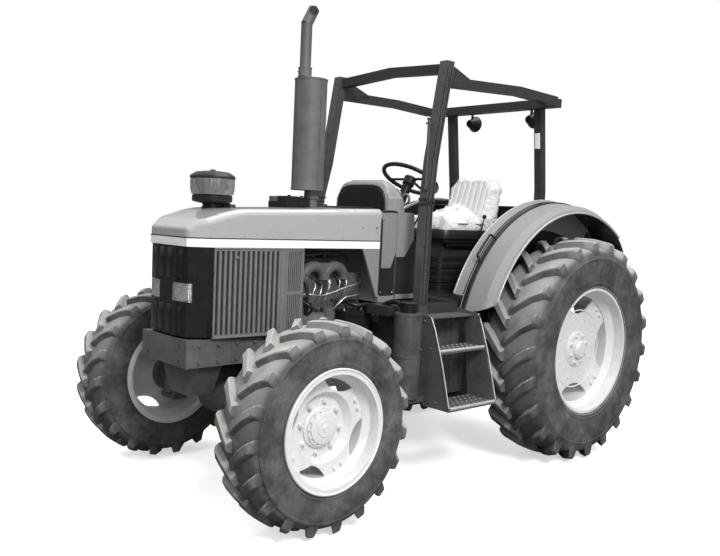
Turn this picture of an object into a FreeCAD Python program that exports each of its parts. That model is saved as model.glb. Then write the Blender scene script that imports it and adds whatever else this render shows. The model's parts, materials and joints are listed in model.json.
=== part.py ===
"""Farm tractor with an open four-post station, in one frame: +X forward, +Y to its left, +Z up.

The origin is on the ground under the middle of the box that holds the tractor. Every length is in
millimetres and stands in the spreadsheet; x sizes are counted forward from the front axle.
"""
import FreeCAD, Part
import math
import os
import re

import Sketcher

os.makedirs("parts", exist_ok=True)
doc = FreeCAD.newDocument("tractor")
V = FreeCAD.Vector

SIZES = {
    # whole machine
    "front_axle_x": 1416.0,
    "wheelbase": 2375.0,
    "running_fit": 0.05,
    # front tyre and wheel
    "front_tyre_r": 563.0,
    "front_tyre_half_w": 157.0,
    "front_tread_half_w": 140.0,
    "front_shoulder_drop": 36.0,
    "front_lugs": 19.0,
    "front_lug_high": 32.0,
    "front_lug_wide": 52.0,
    "front_lug_lead": 118.0,
    "front_wheel_y": 817.5,
    "front_rim_half_w": 155.5,
    "front_flange_r": 330.0,
    "front_bead_r": 305.0,
    "front_well_r": 270.0,
    "rim_wall": 8.0,
    "bead_gap": 0.3,
    # rear tyre and wheel
    "rear_tyre_r": 784.0,
    "rear_tyre_half_w": 215.0,
    "rear_tread_half_w": 195.0,
    "rear_shoulder_drop": 48.0,
    "rear_lugs": 22.0,
    "rear_lug_high": 38.0,
    "rear_lug_wide": 66.0,
    "rear_lug_lead": 165.0,
    "lug_gap": 16.0,
    "rear_wheel_y": 775.5,
    "rear_rim_half_w": 190.5,
    "rear_flange_r": 457.0,
    "rear_bead_r": 432.0,
    "rear_well_r": 385.0,
    # front hub, knuckle and axle
    "front_disc_in": 6.0,
    "front_disc_out": 18.0,
    "front_lobe_in": 50.0,
    "front_lobe_out": 62.0,
    "front_dish_r": 162.0,
    "front_brim_r": 190.0,
    "front_hub_r": 96.0,
    "front_cap_r": 62.0,
    "front_cap_out": 63.5,
    "front_scallop_at": 360.0,
    "front_scallop_r": 160.0,
    "front_scallop_turn": 20.0,
    "front_hub_in": -66.0,
    "spindle_r": 45.0,
    "spindle_out": -10.0,
    "hub_bore_end": -4.0,
    "kingpin_y": 680.0,
    "kingpin_r": 20.0,
    "kingpin_half_h": 156.0,
    "knuckle_r": 56.0,
    "knuckle_half_h": 118.0,
    "knuckle_out": 738.0,
    "knuckle_flange_r": 115.0,
    "knuckle_flange_in": 700.0,
    "fork_half_gap": 125.0,
    "fork_half_h": 150.0,
    "fork_half_x": 50.0,
    "fork_out": 732.0,
    "web_in": 565.0,
    "web_out": 592.0,
    "web_half_x": 45.0,
    "axle_tube_r": 72.0,
    "axle_case_half_y": 150.0,
    "axle_case_r": 128.0,
    "axle_case_half_x": 150.0,
    # steering linkage
    "arm_pin_back": 180.0,
    "arm_pin_r": 11.0,
    "arm_half_w": 24.0,
    "arm_top": 486.0,
    "arm_thick": 18.0,
    "tie_eye_r": 26.0,
    "tie_eye_low": 492.0,
    "tie_eye_high": 522.0,
    "tie_rod_r": 14.0,
    "ram_x": 150.0,
    "ram_z": 612.0,
    "ram_r": 30.0,
    "ram_in": 140.0,
    "ram_out": 500.0,
    "ram_rod_r": 13.0,
    "ram_rod_in": 274.0,
    "ram_eye_y": 655.0,
    "ram_eye_r": 24.0,
    "ram_bracket_y": 180.0,
    "ram_bracket_half": 16.0,
    "ram_arm_back": 165.0,
    "ram_arm_top": 589.0,
    # front bolster
    "bolster_front": 452.0,
    "bolster_back": -200.0,
    "bolster_half_w": 246.0,
    "bolster_low": 800.0,
    "bolster_high": 952.0,
    "hanger_rise": 47.0,
    "hanger_front": 345.0,
    "hanger_back": 196.0,
    "hanger_half_top": 215.0,
    "hanger_half_low": 110.0,
    "pivot_r": 52.0,
    "weight_hole_r": 9.0,
    "weight_hole_y": 170.0,
    "weight_hole_z": 45.0,
    "weight_hole_deep": 60.0,
    "rear_hanger_front": -156.0,
    "rear_hanger_back": -200.0,
    # engine and driveline
    "engine_front": -200.0,
    "engine_back": -842.0,
    "engine_half_w": 190.0,
    "engine_low": 700.0,
    "engine_high": 1296.0,
    "sump_half_w": 150.0,
    "sump_low": 560.0,
    "sump_front": -300.0,
    "cover_half_w": 105.0,
    "cover_front": -250.0,
    "cover_back": -800.0,
    "cover_high": 1385.0,
    "port_z": 1262.0,
    "port_r": 30.0,
    "arch_y": 232.0,
    "arch_r": 80.0,
    "arch_pipe_r": 33.0,
    "arch_1_x": -425.0,
    "arch_2_x": -590.0,
    "rail_pipe_r": 24.0,
    "pump_r": 52.0,
    "pump_front": -330.0,
    "pump_back": -500.0,
    "pump_z": 1010.0,
    "filter_r": 44.0,
    "filter_x": -560.0,
    "filter_low": 900.0,
    "filter_high": 1090.0,
    "battery_front": -620.0,
    "battery_back": -832.0,
    "battery_out": 320.0,
    "battery_low": 920.0,
    "battery_high": 1070.0,
    "tray_t": 8.0,
    "gearbox_back": 235.0,
    "gearbox_half_w": 205.0,
    "gearbox_low": 600.0,
    "gearbox_high": 990.0,
    "case_back": -265.0,
    "case_half_w": 235.0,
    "case_low": 510.0,
    "case_high": 1085.0,
    "trumpet_r": 112.0,
    "trumpet_out": 560.0,
    "trumpet_flange_r": 150.0,
    "trumpet_flange_w": 34.0,
    "shaft_r": 44.0,
    "shaft_in": 470.0,
    # rear hub
    "rear_hub_r": 128.0,
    "rear_hub_in": 602.0,
    "rear_disc_in": 828.0,
    "rear_disc_out": 843.0,
    "rear_cap_r": 66.0,
    "rear_cap_out": 880.0,
    "rear_scallop_at": 463.0,
    "rear_scallop_r": 213.0,
    "rear_scallop_turn": 0.0,
    # hood, band, nose and side panels
    "hood_low": 1505.0,
    "hood_nose_x": 438.0,
    "hood_wide_x": 340.0,
    "hood_wide_half": 260.0,
    "hood_back": -868.0,
    "hood_nose_half": 200.0,
    "hood_back_half": 345.0,
    "hood_lip_rise": 50.0,
    "hood_brow_x": 372.0,
    "hood_brow_rise": 98.0,
    "hood_rise_x": 160.0,
    "hood_front_rise": 163.0,
    "hood_back_rise": 200.0,
    "hood_skin": 22.0,
    "hood_shoulder": 40.0,
    "hood_lip_round": 28.0,
    "hood_brow_round": 110.0,
    "hood_crown_round": 600.0,
    "band_low": 1457.0,
    "band_skin": 14.0,
    "nose_front": 446.0,
    "nose_face_half": 110.0,
    "nose_corner_x": 428.0,
    "nose_back": 302.0,
    "nose_low": 965.0,
    "nose_skin": 14.0,
    "lamp_in": 66.0,
    "lamp_low": 1155.0,
    "lamp_high": 1258.0,
    "lamp_recess": 4.0,
    "nose_groove": 9.0,
    "nose_groove_pitch": 86.0,
    "panel_skin": 14.0,
    "panel_back": -290.0,
    "panel_low": 955.0,
    "rib_pitch": 32.2,
    "rib_gap": 17.0,
    "rib_first": 288.0,
    "rib_deep": 9.0,
    "rib_border": 20.0,
    "louvre_pitch": 13.6,
    "louvre_gap": 6.5,
    "louvre_first": -181.0,
    "panel_bar_low": 1186.0,
    "panel_bar_high": 1208.0,
    "tail_top_front": -720.0,
    "tail_low_front": -850.0,
    "tail_low": 1154.0,
    # stack and pre-cleaner
    "stack_gap": 5.0,
    "stack_y": -150.0,
    "stack_foot_x": -700.0,
    "stack_x": -661.0,
    "foot_r": 40.0,
    "muffler_low": 1813.0,
    "muffler_high": 2511.0,
    "muffler_r": 105.0,
    "tail_pipe_x": -606.0,
    "tail_pipe_r": 36.0,
    "collar_r": 43.0,
    "collar_len": 58.0,
    "shield_front": -468.0,
    "shield_out": 300.0,
    "shield_low": 1712.0,
    "shield_high": 1762.0,
    "tail_bend_z": 2855.0,
    "tail_bend_len": 122.0,
    "tail_bend_lean": -29.0,
    "pre_x": 95.0,
    "pre_y": -100.0,
    "pre_neck_r": 62.0,
    "pre_base_r": 117.0,
    "pre_base_high": 1738.0,
    "pre_lid_low": 1838.0,
    "pre_lid_r": 98.0,
    "pre_knob_r": 16.0,
    "pre_low": 1700.0,
    "pre_high": 1892.0,
    "pre_r": 130.0,
    # cowl, dash and column
    "cowl_back": -1010.0,
    "cowl_half_w": 345.0,
    "cowl_high": 1690.0,
    "dash_half_w": 250.0,
    "dash_nose_high": 1700.0,
    "dash_crest": 1898.0,
    "dash_deep": 190.0,
    "column_r": 34.0,
    "wheel_hub_x": -1470.0,
    "wheel_hub_z": 1927.0,
    "wheel_tilt": 28.0,
    "wheel_rim_r": 198.0,
    "wheel_grip_r": 14.0,
    "wheel_hub_r": 42.0,
    "wheel_hub_h": 46.0,
    "column_gap": 6.0,
    "shroud_start": 300.0,
    "shroud_r": 62.0,
    "shroud_len": 520.0,
    "wheel_shaft_r": 12.0,
    # platform and steps
    "floor_front": -760.0,
    "floor_wing_back": 975.0,
    "floor_notch_back": -900.0,
    "floor_notch_half": 362.0,
    "floor_back": 815.0,
    "deck_back": 45.0,
    "deck_high": 1125.0,
    "floor_half_w": 550.0,
    "floor_low": 1062.0,
    "floor_high": 1120.0,
    "tank_front": -905.0,
    "tank_back": 875.0,
    "tank_in": 262.0,
    "tank_inset": 5.0,
    "tank_low": 520.0,
    "can_x": -802.0,
    "can_outset": 126.0,
    "can_r": 83.0,
    "can_low": 590.0,
    "can_high": 1092.0,
    "can_neck_r": 45.0,
    "can_neck_high": 1154.0,
    "shelf_low": 560.0,
    "step_front": -950.0,
    "step_back": 980.0,
    "step_plate": 8.0,
    "tread_in": 140.0,
    "tread_out": 355.0,
    "step_low": 520.0,
    "step_tread": 22.0,
    "step_hang_high": 1090.0,
    "step_hang_low": 1000.0,
    "step_top_out": 190.0,
    "step_top_z": 1060.0,
    "step_mid": 850.0,
    "mid_tread_in": 95.0,
    "mid_tread_out": 250.0,
    # fenders
    "fender_in": 500.0,
    "fender_out": 800.0,
    "fender_r": 1040.0,
    "fender_lip_drop": 85.0,
    "fender_skin": 8.0,
    "fender_wall_r": 820.0,
    "fender_corner": 55.0,
    "fender_start": 22.0,
    "fender_sweep": 103.0,
    # roll-over frame
    "post_low_x": -1002.0,
    "post_outset": 30.0,
    "post_low_z": 1040.0,
    "post_clamp_x": -1062.0,
    "post_clamp_y": 530.0,
    "post_clamp_z": 1700.0,
    "post_mid_x": -1120.0,
    "post_mid_y": 500.0,
    "post_mid_z": 2020.0,
    "post_top_x": -1222.0,
    "post_top_y": 500.0,
    "post_top_z": 2640.0,
    "post_w": 70.0,
    "post_t": 60.0,
    "rear_post_x": -85.0,
    "rear_post_mid_x": -60.0,
    "rear_post_y": 410.0,
    "rear_post_low": 1085.0,
    "rear_post_mid": 1900.0,
    "rear_post_top_x": 15.0,
    "rear_post_top": 2490.0,
    "rear_post_w": 56.0,
    "rear_post_t": 60.0,
    "rail_w": 60.0,
    "gusset_len": 290.0,
    "gusset_t": 10.0,
    "lamp_arm_x": -75.0,
    "lamp_y": 280.0,
    "lamp_z": 2425.0,
    "lamp_r": 60.0,
    "lamp_deep": 78.0,
    "lamp_arm_t": 10.0,
    "grab_top_z": 2265.0,
    "grab_low_z": 1835.0,
    "grab_x": -1040.0,
    "grab_y": 540.0,
    "grab_r": 9.0,
    "rail_kink_y": 570.0,
    "rail_back_y": 585.0,
    "rail_back_x": 95.0,
    "header_crown": 28.0,
    "rail_kink_x": 510.0,
    "rail_front_z": 2512.0,
    "rail_kink_z": 2532.0,
    "rail_back_z": 2515.0,
    # seat
    "seat_front": 775.0,
    "seat_back_x": 295.0,
    "seat_half_w": 238.0,
    "seat_low": 1530.0,
    "seat_high": 1665.0,
    "back_thick": 130.0,
    "back_high": 1990.0,
    "back_lean": 110.0,
    "back_corner_y": 60.0,
    "back_corner_z": 85.0,
    "seat_base_half": 170.0,
    "soft_gap": 0.3,
    # hitch
    "link_pivot_x": -125.0,
    "link_pivot_z": 590.0,
    "link_pivot_y": 300.0,
    "link_end_x": -980.0,
    "link_end_y": 412.0,
    "link_end_z": 520.0,
    "link_half_t": 14.0,
    "link_half_h": 30.0,
    "side_gap": 5.0,
    "eye_r": 26.0,
    "eye_t": 24.0,
    "ball_r": 14.4,
    "ball_boss_r": 40.0,
    "link_rod_at": 360.0,
    "rock_x": -185.0,
    "rock_z": 1150.0,
    "rock_r": 45.0,
    "rock_ear_in": 150.0,
    "rock_ear_out": 205.0,
    "lift_arm_y": 262.0,
    "lift_arm_t": 24.0,
    "lift_rod_r": 17.0,
    "pin_r": 12.0,
    "drawbar_half_w": 40.0,
    "drawbar_low": 400.0,
    "drawbar_high": 432.0,
    "drawbar_front": 175.0,
    "drawbar_back": -705.0,
    "drawbar_pin_back": -655.0,
    "drawbar_hole_r": 16.0,
    "drawbar_hang_x": 75.0,
    "drawbar_hang_len": 70.0,
    "top_link_x": -315.0,
    "top_link_z": 960.0,
    "top_link_len": 560.0,
    "top_link_lean": -24.0,
    "top_link_r": 20.0,
    "top_neck_r": 10.0,
    "top_eye_r": 13.0,
}

sheet = doc.addObject("Spreadsheet::Sheet", "Sheet")
for row, (name, value) in enumerate(SIZES.items(), start=1):
    sheet.set(f"A{row}", name)
    sheet.set(f"B{row}", str(value))
    sheet.setAlias(f"B{row}", name)
doc.recompute()

NODES = []
PLANES = {
    "xz": FreeCAD.Rotation(V(1, 0, 0), 90),
    "yz": FreeCAD.Rotation(V(1, 1, 1), 120),
    "xy": FreeCAD.Rotation(),
}
ALONG = {
    "x": FreeCAD.Rotation(V(0, 1, 0), 90),
    "y": FreeCAD.Rotation(V(1, 0, 0), -90),
    "z": FreeCAD.Rotation(),
}


def linked(text):
    """The expression with each size's name pointed at the spreadsheet."""
    return re.sub(r"[a-z][a-z_0-9]*", lambda m: ("Sheet." if m[0] in SIZES else "") + m[0], str(text))


def number(text):
    """The value of a sum of products of sizes and numbers."""
    total = 0.0
    for sign, term in re.findall(r"([+-]?)\s*([^+\-\s][^+-]*)", str(text)):
        value = 1.0
        for op, factor in re.findall(r"([*/]?)\s*([a-z0-9_.]+)", term):
            size = SIZES[factor] if factor in SIZES else float(factor)
            value = value / size if op == "/" else value * size
        total += -value if sign == "-" else value
    return total


def bind(obj, **props):
    for prop, text in props.items():
        obj.setExpression(prop.replace("__", "."), linked(text))
    return obj


def place(obj, x, y, z, turn=None):
    """Stands obj at x, counted from the front axle, y and z."""
    obj.Placement = FreeCAD.Placement(V(), turn or FreeCAD.Rotation())
    obj.setExpression("Placement.Base.x", linked(f"front_axle_x + ({x})"))
    obj.setExpression("Placement.Base.y", linked(y))
    obj.setExpression("Placement.Base.z", linked(z))
    return obj


def box(x, y, z):
    obj = doc.addObject("Part::Box", "block")
    bind(obj, Length=f"({x[1]}) - ({x[0]})", Width=f"({y[1]}) - ({y[0]})", Height=f"({z[1]}) - ({z[0]})")
    return place(obj, x[0], y[0], z[0])


def cylinder(axis, span, at, radius):
    """A round bar along axis over span, whose centre line is at the two other coordinates."""
    obj = doc.addObject("Part::Cylinder", "bar")
    bind(obj, Radius=radius, Height=f"({span[1]}) - ({span[0]})")
    start = {"x": (span[0], at[0], at[1]), "y": (at[0], span[0], at[1]), "z": (at[0], at[1], span[0])}[axis]
    return place(obj, *start, turn=ALONG[axis])


def outline(plane, points, at="0"):
    """A closed sketch on a plane, each corner held by two named distances."""
    obj = doc.addObject("Sketcher::SketchObject", "outline")
    corners = [V(number(a), number(b), 0) for a, b in points]
    count = len(corners)
    obj.addGeometry([Part.LineSegment(corners[i], corners[(i + 1) % count]) for i in range(count)])
    for i in range(count):
        obj.addConstraint(Sketcher.Constraint("Coincident", i, 2, (i + 1) % count, 1))
    for i, (a, b) in enumerate(points):
        for kind, text, value in (("DistanceX", a, corners[i].x), ("DistanceY", b, corners[i].y)):
            index = obj.addConstraint(Sketcher.Constraint(kind, -1, 1, i, 1, value))
            obj.setExpression(f"Constraints[{index}]", linked(text))
    base = {"xz": ("0", at, "0"), "yz": (at, "0", "0"), "xy": ("0", "0", at)}[plane]
    return place(obj, *base, turn=PLANES[plane])


def prism(plane, points, span):
    """The outline drawn on a plane and carried over span along the plane's normal."""
    face = outline(plane, points, span[0])
    obj = doc.addObject("Part::Extrusion", "prism")
    obj.Base = face
    obj.DirMode = "Custom"
    obj.Dir = {"xz": V(0, 1, 0), "yz": V(1, 0, 0), "xy": V(0, 0, 1)}[plane]
    obj.Solid = True
    return bind(obj, LengthFwd=f"({span[1]}) - ({span[0]})")


def turned(points, x, z, sweep="360", start=0.0):
    """A ring about the line along Y through x, z, from an outline of (y, radius) corners.

    It starts that many degrees ahead of the upright and sweeps backwards over the top.
    """
    face = outline("yz", points, x)
    face.setExpression("Placement.Base.z", linked(z))
    face.Placement.Rotation = FreeCAD.Rotation(V(0, 1, 0), start) * PLANES["yz"]
    ring = doc.addObject("Part::Revolution", "ring")
    ring.Source = face
    ring.Axis = V(0, -1, 0)
    ring.Solid = True
    bind(ring, Base__x=f"front_axle_x + ({x})", Base__z=z, Angle=sweep)
    return ring


def loft(plane, sections, ruled=True):
    """A solid through outlines that stand at the given stations along the plane's normal."""
    obj = doc.addObject("Part::Loft", "loft")
    obj.Sections = [outline(plane, points, at) for at, points in sections]
    obj.Solid = True
    obj.Ruled = ruled
    return obj


def fuse(*shapes):
    obj = doc.addObject("Part::MultiFuse", "joined")
    obj.Shapes = list(shapes)
    return obj


def cut(base, *tools):
    for tool in tools:
        obj = doc.addObject("Part::Cut", "cut")
        obj.Base = base
        obj.Tool = tool
        base = obj
    return base


def mirrored(obj):
    copy = doc.addObject("Part::Mirroring", "mirrored")
    copy.Source = obj
    copy.Normal = V(0, 1, 0)
    return copy


def node(label, obj):
    obj.Label = label
    NODES.append(obj)
    return obj


def pair(name, obj):
    """The left sub-part and its mirror image on the right."""
    node(f"{name}_left", obj)
    node(f"{name}_right", mirrored(obj))
    return obj


def both(lo, hi):
    """Two spans, one each side of the middle plane."""
    return ((lo, hi), (f"-({hi})", f"-({lo})"))


def rect(a, b, half_a, half_b):
    return [
        (f"{a} - {half_a}", f"{b} - {half_b}"),
        (f"{a} + {half_a}", f"{b} - {half_b}"),
        (f"{a} + {half_a}", f"{b} + {half_b}"),
        (f"{a} - {half_a}", f"{b} + {half_b}"),
    ]


# ---- tyres: closed rings of flat facets with a herringbone of bars, so that the file stays light ----
def facet(*corners):
    return Part.Face(Part.makePolygon([*corners, corners[0]]))


def zipped(one, two):
    """Triangles between two rings of (angle, point), each closed and in order of angle."""
    found, i, j = [], 0, 0
    while i < len(one) or j < len(two):
        a, b = one[i % len(one)], two[j % len(two)]
        ahead = one[(i + 1) % len(one)][0] + (360 if i + 1 >= len(one) else 0)
        other = two[(j + 1) % len(two)][0] + (360 if j + 1 >= len(two) else 0)
        if j >= len(two) or (i < len(one) and ahead <= other):
            found.append(facet(a[1], b[1], one[(i + 1) % len(one)][1]))
            i += 1
        else:
            found.append(facet(a[1], b[1], two[(j + 1) % len(two)][1]))
            j += 1
    return found


def barred(low_a, top_a, low_b, top_b):
    """The tread between two rings of bar corners: each bar's walls and top, and the floor up to the next bar."""
    found, count = [], len(low_a)
    for k in range(0, count, 2):
        n = (k + 2) % count
        a1, a2, b1, b2 = low_a[k][1], low_a[k + 1][1], low_b[k][1], low_b[k + 1][1]
        p1, p2, q1, q2 = top_a[k][1], top_a[k + 1][1], top_b[k][1], top_b[k + 1][1]
        a3, b3 = low_a[n][1], low_b[n][1]
        for w, x, y, z in ((p1, q1, q2, p2), (a1, b1, q1, p1), (a2, p2, q2, b2), (a1, p1, p2, a2), (b1, b2, q2, q1),
                           (a2, b2, b3, a3)):
            found += [facet(w, x, y), facet(w, y, z)]
    return found


def tyre(end, x):
    """Rings of corners round the wheel, from one bead over the tread to the other, joined by triangles."""
    s = SIZES
    tip, mid, count = s[f"{end}_tyre_r"], s[f"{end}_wheel_y"], int(s[f"{end}_lugs"])
    half, tread, high = s[f"{end}_tyre_half_w"], s[f"{end}_tread_half_w"], s[f"{end}_lug_high"]
    bead, drop = s[f"{end}_bead_r"] + s["bead_gap"], s[f"{end}_shoulder_drop"]
    seat, low = s[f"{end}_rim_half_w"] - s["rim_wall"] - s["bead_gap"], s[f"{end}_flange_r"] + 12
    pitch, wide = 360 / count, math.degrees(s[f"{end}_lug_wide"] / tip)
    lead = math.degrees(s[f"{end}_lug_lead"] / tip)
    reach = tip / math.cos(math.radians(pitch / 4 - wide / 2))

    def ring(y, r, angles):
        at = [(a, math.radians(a)) for a in angles]
        return [(a, V(s["front_axle_x"] + x + r * math.cos(t), mid + y, tip + r * math.sin(t))) for a, t in at]

    def bars(shift):
        start = -90 + shift - wide / 2
        return [start + k * pitch + d for k in range(count) for d in (0, wide)]

    plain = [-90 + k * pitch for k in range(count)]
    faces, shoulders = [], []
    crown = []
    for side in (-1, 1):
        outer = bars(side * pitch / 4 + lead)
        inner = bars(side * pitch / 4)
        shoulder = ring(side * tread, tip - drop - high * 0.6, outer)
        knob = ring(side * tread * 0.94, tip - drop * 0.5, outer)
        floor_in, edge_in = ring(side * s["lug_gap"] / 2, tip - high, inner), ring(side * s["lug_gap"] / 2, reach, inner)
        pairs = (shoulder, knob, floor_in, edge_in) if side < 0 else (floor_in, edge_in, shoulder, knob)
        faces += barred(*pairs)
        crown.append(floor_in)
        wall = [ring(side * half, (low + tip) / 2 - 10, plain), ring(side * half * 0.94, low + 34, plain),
                ring(side * seat, low, plain), ring(side * seat, bead / math.cos(math.radians(pitch / 2)), plain)]
        shoulders.append((shoulder, wall))
    faces += zipped(crown[0], crown[1])
    (right, right_wall), (left, left_wall) = shoulders
    for one, two in zip([left, *left_wall], left_wall):
        faces += zipped(one, two)
    for one, two in zip(right_wall, [right, *right_wall]):
        faces += zipped(one, two)
    faces += zipped(left_wall[-1], right_wall[-1])
    solid = Part.Solid(Part.Shell(faces))
    if solid.Volume < 0:
        solid.reverse()
    obj = doc.addObject("Part::Feature", "tyre")
    obj.Shape = solid
    return obj


# ---- front wheels ----
def barrel(end):
    """The rim's outline as (y, radius) corners round the wheel's middle."""
    y, hw, wall = f"{end}_wheel_y", f"{end}_rim_half_w", "rim_wall"
    flange, bead, well = f"{end}_flange_r", f"{end}_bead_r", f"{end}_well_r"
    return [
        (f"{y} + {hw}", flange),
        (f"{y} + {hw} - {wall}", flange),
        (f"{y} + {hw} - {wall}", bead),
        (f"{y} + {hw} * 0.6", f"{bead} - 4"),
        (f"{y} + {hw} * 0.4", well),
        (f"{y} - {hw} * 0.4", well),
        (f"{y} - {hw} * 0.6", f"{bead} - 4"),
        (f"{y} - {hw} + {wall}", bead),
        (f"{y} - {hw} + {wall}", flange),
        (f"{y} - {hw}", flange),
        (f"{y} - {hw}", f"{bead} - {wall}"),
        (f"{y} - {hw} * 0.62", f"{bead} - 4 - {wall}"),
        (f"{y} - {hw} * 0.42", f"{well} - {wall}"),
        (f"{y} + {hw} * 0.42", f"{well} - {wall}"),
        (f"{y} + {hw} * 0.62", f"{bead} - 4 - {wall}"),
        (f"{y} + {hw}", f"{bead} - {wall}"),
    ]


def scalloped(disc, end, span, x, z):
    """The disc with four hollows in its edge, which leave four lobes that reach the rim."""
    hollows = []
    for quarter in range(4):
        turn = math.radians(90 * quarter + SIZES[f"{end}_scallop_turn"])
        at = (f"{x} + {end}_scallop_at * {math.cos(turn):.6f}", f"{z} + {end}_scallop_at * {math.sin(turn):.6f}")
        hollows.append(cylinder("y", span, at, f"{end}_scallop_r"))
    return cut(disc, *hollows)


fw = "front_wheel_y"
front_dish = turned([
    (f"{fw} + front_disc_in", "0"),
    (f"{fw} + front_disc_out", "0"),
    (f"{fw} + front_disc_out", "front_dish_r"),
    (f"{fw} + front_lobe_out", "front_brim_r"),
    (f"{fw} + front_lobe_out", "front_well_r - 4"),
    (f"{fw} + front_lobe_in", "front_well_r - 4"),
    (f"{fw} + front_lobe_in", "front_brim_r + 4"),
    (f"{fw} + front_disc_in", "front_dish_r + 4"),
], "0", "front_tyre_r")
front_disc = scalloped(front_dish, "front", (f"{fw} + front_disc_in - 1", f"{fw} + front_lobe_out + 1"), "0", "front_tyre_r")
front_hub = turned([
    (f"{fw} + front_hub_in", "spindle_r + running_fit"),
    (f"{fw} + hub_bore_end", "spindle_r + running_fit"),
    (f"{fw} + hub_bore_end", "0"),
    (f"{fw} + front_cap_out", "0"),
    (f"{fw} + front_cap_out", "front_cap_r"),
    (f"{fw} + front_cap_out - 20", "front_cap_r + 8"),
    (f"{fw} + front_cap_out - 24", "front_hub_r"),
    (f"{fw} + front_hub_in", "front_hub_r"),
], "0", "front_tyre_r")
front_wheel = fuse(turned(barrel("front"), "0", "front_tyre_r"), front_disc, front_hub)
pair("front_rim", front_wheel)
pair("front_tyre", tyre("front", 0.0))

# ---- rear wheels, each with the axle shaft it turns on ----
rw = "rear_wheel_y"
rear_disc = scalloped(cylinder("y", ("rear_disc_in", "rear_disc_out"), ("0 - wheelbase", "rear_tyre_r"), "rear_well_r - 4"),
                      "rear", ("rear_disc_in - 1", "rear_disc_out + 1"), "0 - wheelbase", "rear_tyre_r")
rear_hub = turned([
    ("shaft_in", "0"),
    ("rear_cap_out", "0"),
    ("rear_cap_out", "rear_cap_r"),
    ("rear_disc_out", "rear_cap_r + 6"),
    ("rear_disc_out", "rear_hub_r"),
    ("rear_hub_in", "rear_hub_r"),
    ("rear_hub_in", "shaft_r"),
    ("shaft_in", "shaft_r"),
], "0 - wheelbase", "rear_tyre_r")
rear_wheel = fuse(turned(barrel("rear"), "0 - wheelbase", "rear_tyre_r"), rear_disc, rear_hub)
pair("rear_rim", rear_wheel)
pair("rear_tyre", tyre("rear", -SIZES["wheelbase"]))

# ---- front axle: beam with a fork at each end, trunnion fore and aft ----
AZ = "front_tyre_r"
trunnion_z = f"{AZ} + axle_case_r - 1"


def fork():
    web = box(("-web_half_x", "web_half_x"), ("web_in", "web_out"),
              (f"{AZ} - fork_half_h", f"{AZ} + fork_half_h"))
    plates = []
    for lo, hi in ((f"{AZ} + fork_half_gap", f"{AZ} + fork_half_h"),
                   (f"{AZ} - fork_half_h", f"{AZ} - fork_half_gap")):
        plates.append(box(("-fork_half_x", "fork_half_x"), ("web_in", "fork_out"), (lo, hi)))
    bores = cylinder("z", (f"{AZ} - kingpin_half_h", f"{AZ} + kingpin_half_h"),
                     ("0", "kingpin_y"), "kingpin_r + running_fit")
    return cut(fuse(web, *plates), bores)


left_fork = fork()
axle = fuse(
    cylinder("y", ("-web_in", "web_in"), ("0", AZ), "axle_tube_r"),
    cylinder("y", ("-axle_case_half_y", "axle_case_half_y"), ("0", AZ), "axle_case_r"),
    cylinder("x", ("rear_hanger_back", "hanger_front"), ("0", trunnion_z), "pivot_r"),
    box(("-ram_x - 4", "-axle_tube_r + 22"),
        ("ram_bracket_y - ram_bracket_half", "ram_bracket_y + ram_bracket_half"), ("ram_z - 60", "ram_z - ram_r + 4")),
    box(("-ram_x - 4", "-axle_tube_r + 22"),
        ("ram_out - 60", "ram_out - 28"), ("ram_z - 60", "ram_z - ram_r + 4")),
    left_fork,
    mirrored(left_fork),
)
ram = cylinder("y", ("ram_in", "ram_out"), ("-ram_x", "ram_z"), "ram_r")
node("front_axle_beam", cut(axle, ram))
node("steering_ram", cut(
    cylinder("y", ("ram_in", "ram_out"), ("-ram_x", "ram_z"), "ram_r"),
    cylinder("y", ("ram_in + 14", "ram_out"), ("-ram_x", "ram_z"), "ram_rod_r + running_fit")))
node("steering_ram_rod", fuse(
    cylinder("y", ("ram_rod_in", "ram_eye_y"), ("-ram_x", "ram_z"), "ram_rod_r"),
    cylinder("z", ("ram_z - 18", "ram_z + 18"), ("-ram_x", "ram_eye_y + ram_eye_r - 6"), "ram_eye_r")))

knuckle = fuse(
    cylinder("z", (f"{AZ} - knuckle_half_h", f"{AZ} + knuckle_half_h"), ("0", "kingpin_y"), "knuckle_r"),
    cylinder("z", (f"{AZ} - kingpin_half_h", f"{AZ} + kingpin_half_h"), ("0", "kingpin_y"), "kingpin_r"),
    cylinder("y", ("kingpin_y", "knuckle_out"), ("0", AZ), "knuckle_r + 20"),
    cylinder("y", ("knuckle_flange_in", "knuckle_out"), ("0", AZ), "knuckle_flange_r"),
    cylinder("y", ("kingpin_y", f"{fw} + spindle_out"), ("0", AZ), "spindle_r"),
    box(("-arm_pin_back", "0"), ("kingpin_y - arm_half_w", "kingpin_y + arm_half_w"),
        ("arm_top - arm_thick", "arm_top")),
    cylinder("z", ("arm_top - arm_thick", "arm_top"), ("-arm_pin_back", "kingpin_y"), "arm_half_w"),
    cylinder("z", ("arm_top", "tie_eye_high"), ("-arm_pin_back", "kingpin_y"), "arm_pin_r"),
    box(("-ram_arm_back", "0"), ("kingpin_y - arm_half_w", "kingpin_y + arm_half_w"),
        ("ram_arm_top - arm_thick", "ram_arm_top")),
)
pair("knuckle", knuckle)
tie_eyes = [cylinder("z", ("tie_eye_low", "tie_eye_high"), ("-arm_pin_back", y), "tie_eye_r")
            for y in ("kingpin_y", "-kingpin_y")]
tie_bores = [cylinder("z", ("tie_eye_low - 1", "tie_eye_high + 1"), ("-arm_pin_back", y), "arm_pin_r + running_fit")
             for y in ("kingpin_y", "-kingpin_y")]
tie_bar = cylinder("y", ("-kingpin_y + tie_eye_r - 6", "kingpin_y - tie_eye_r + 6"),
                   ("-arm_pin_back", "tie_eye_low / 2 + tie_eye_high / 2"), "tie_rod_r")
node("tie_rod", cut(fuse(tie_bar, *tie_eyes), *tie_bores))

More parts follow.
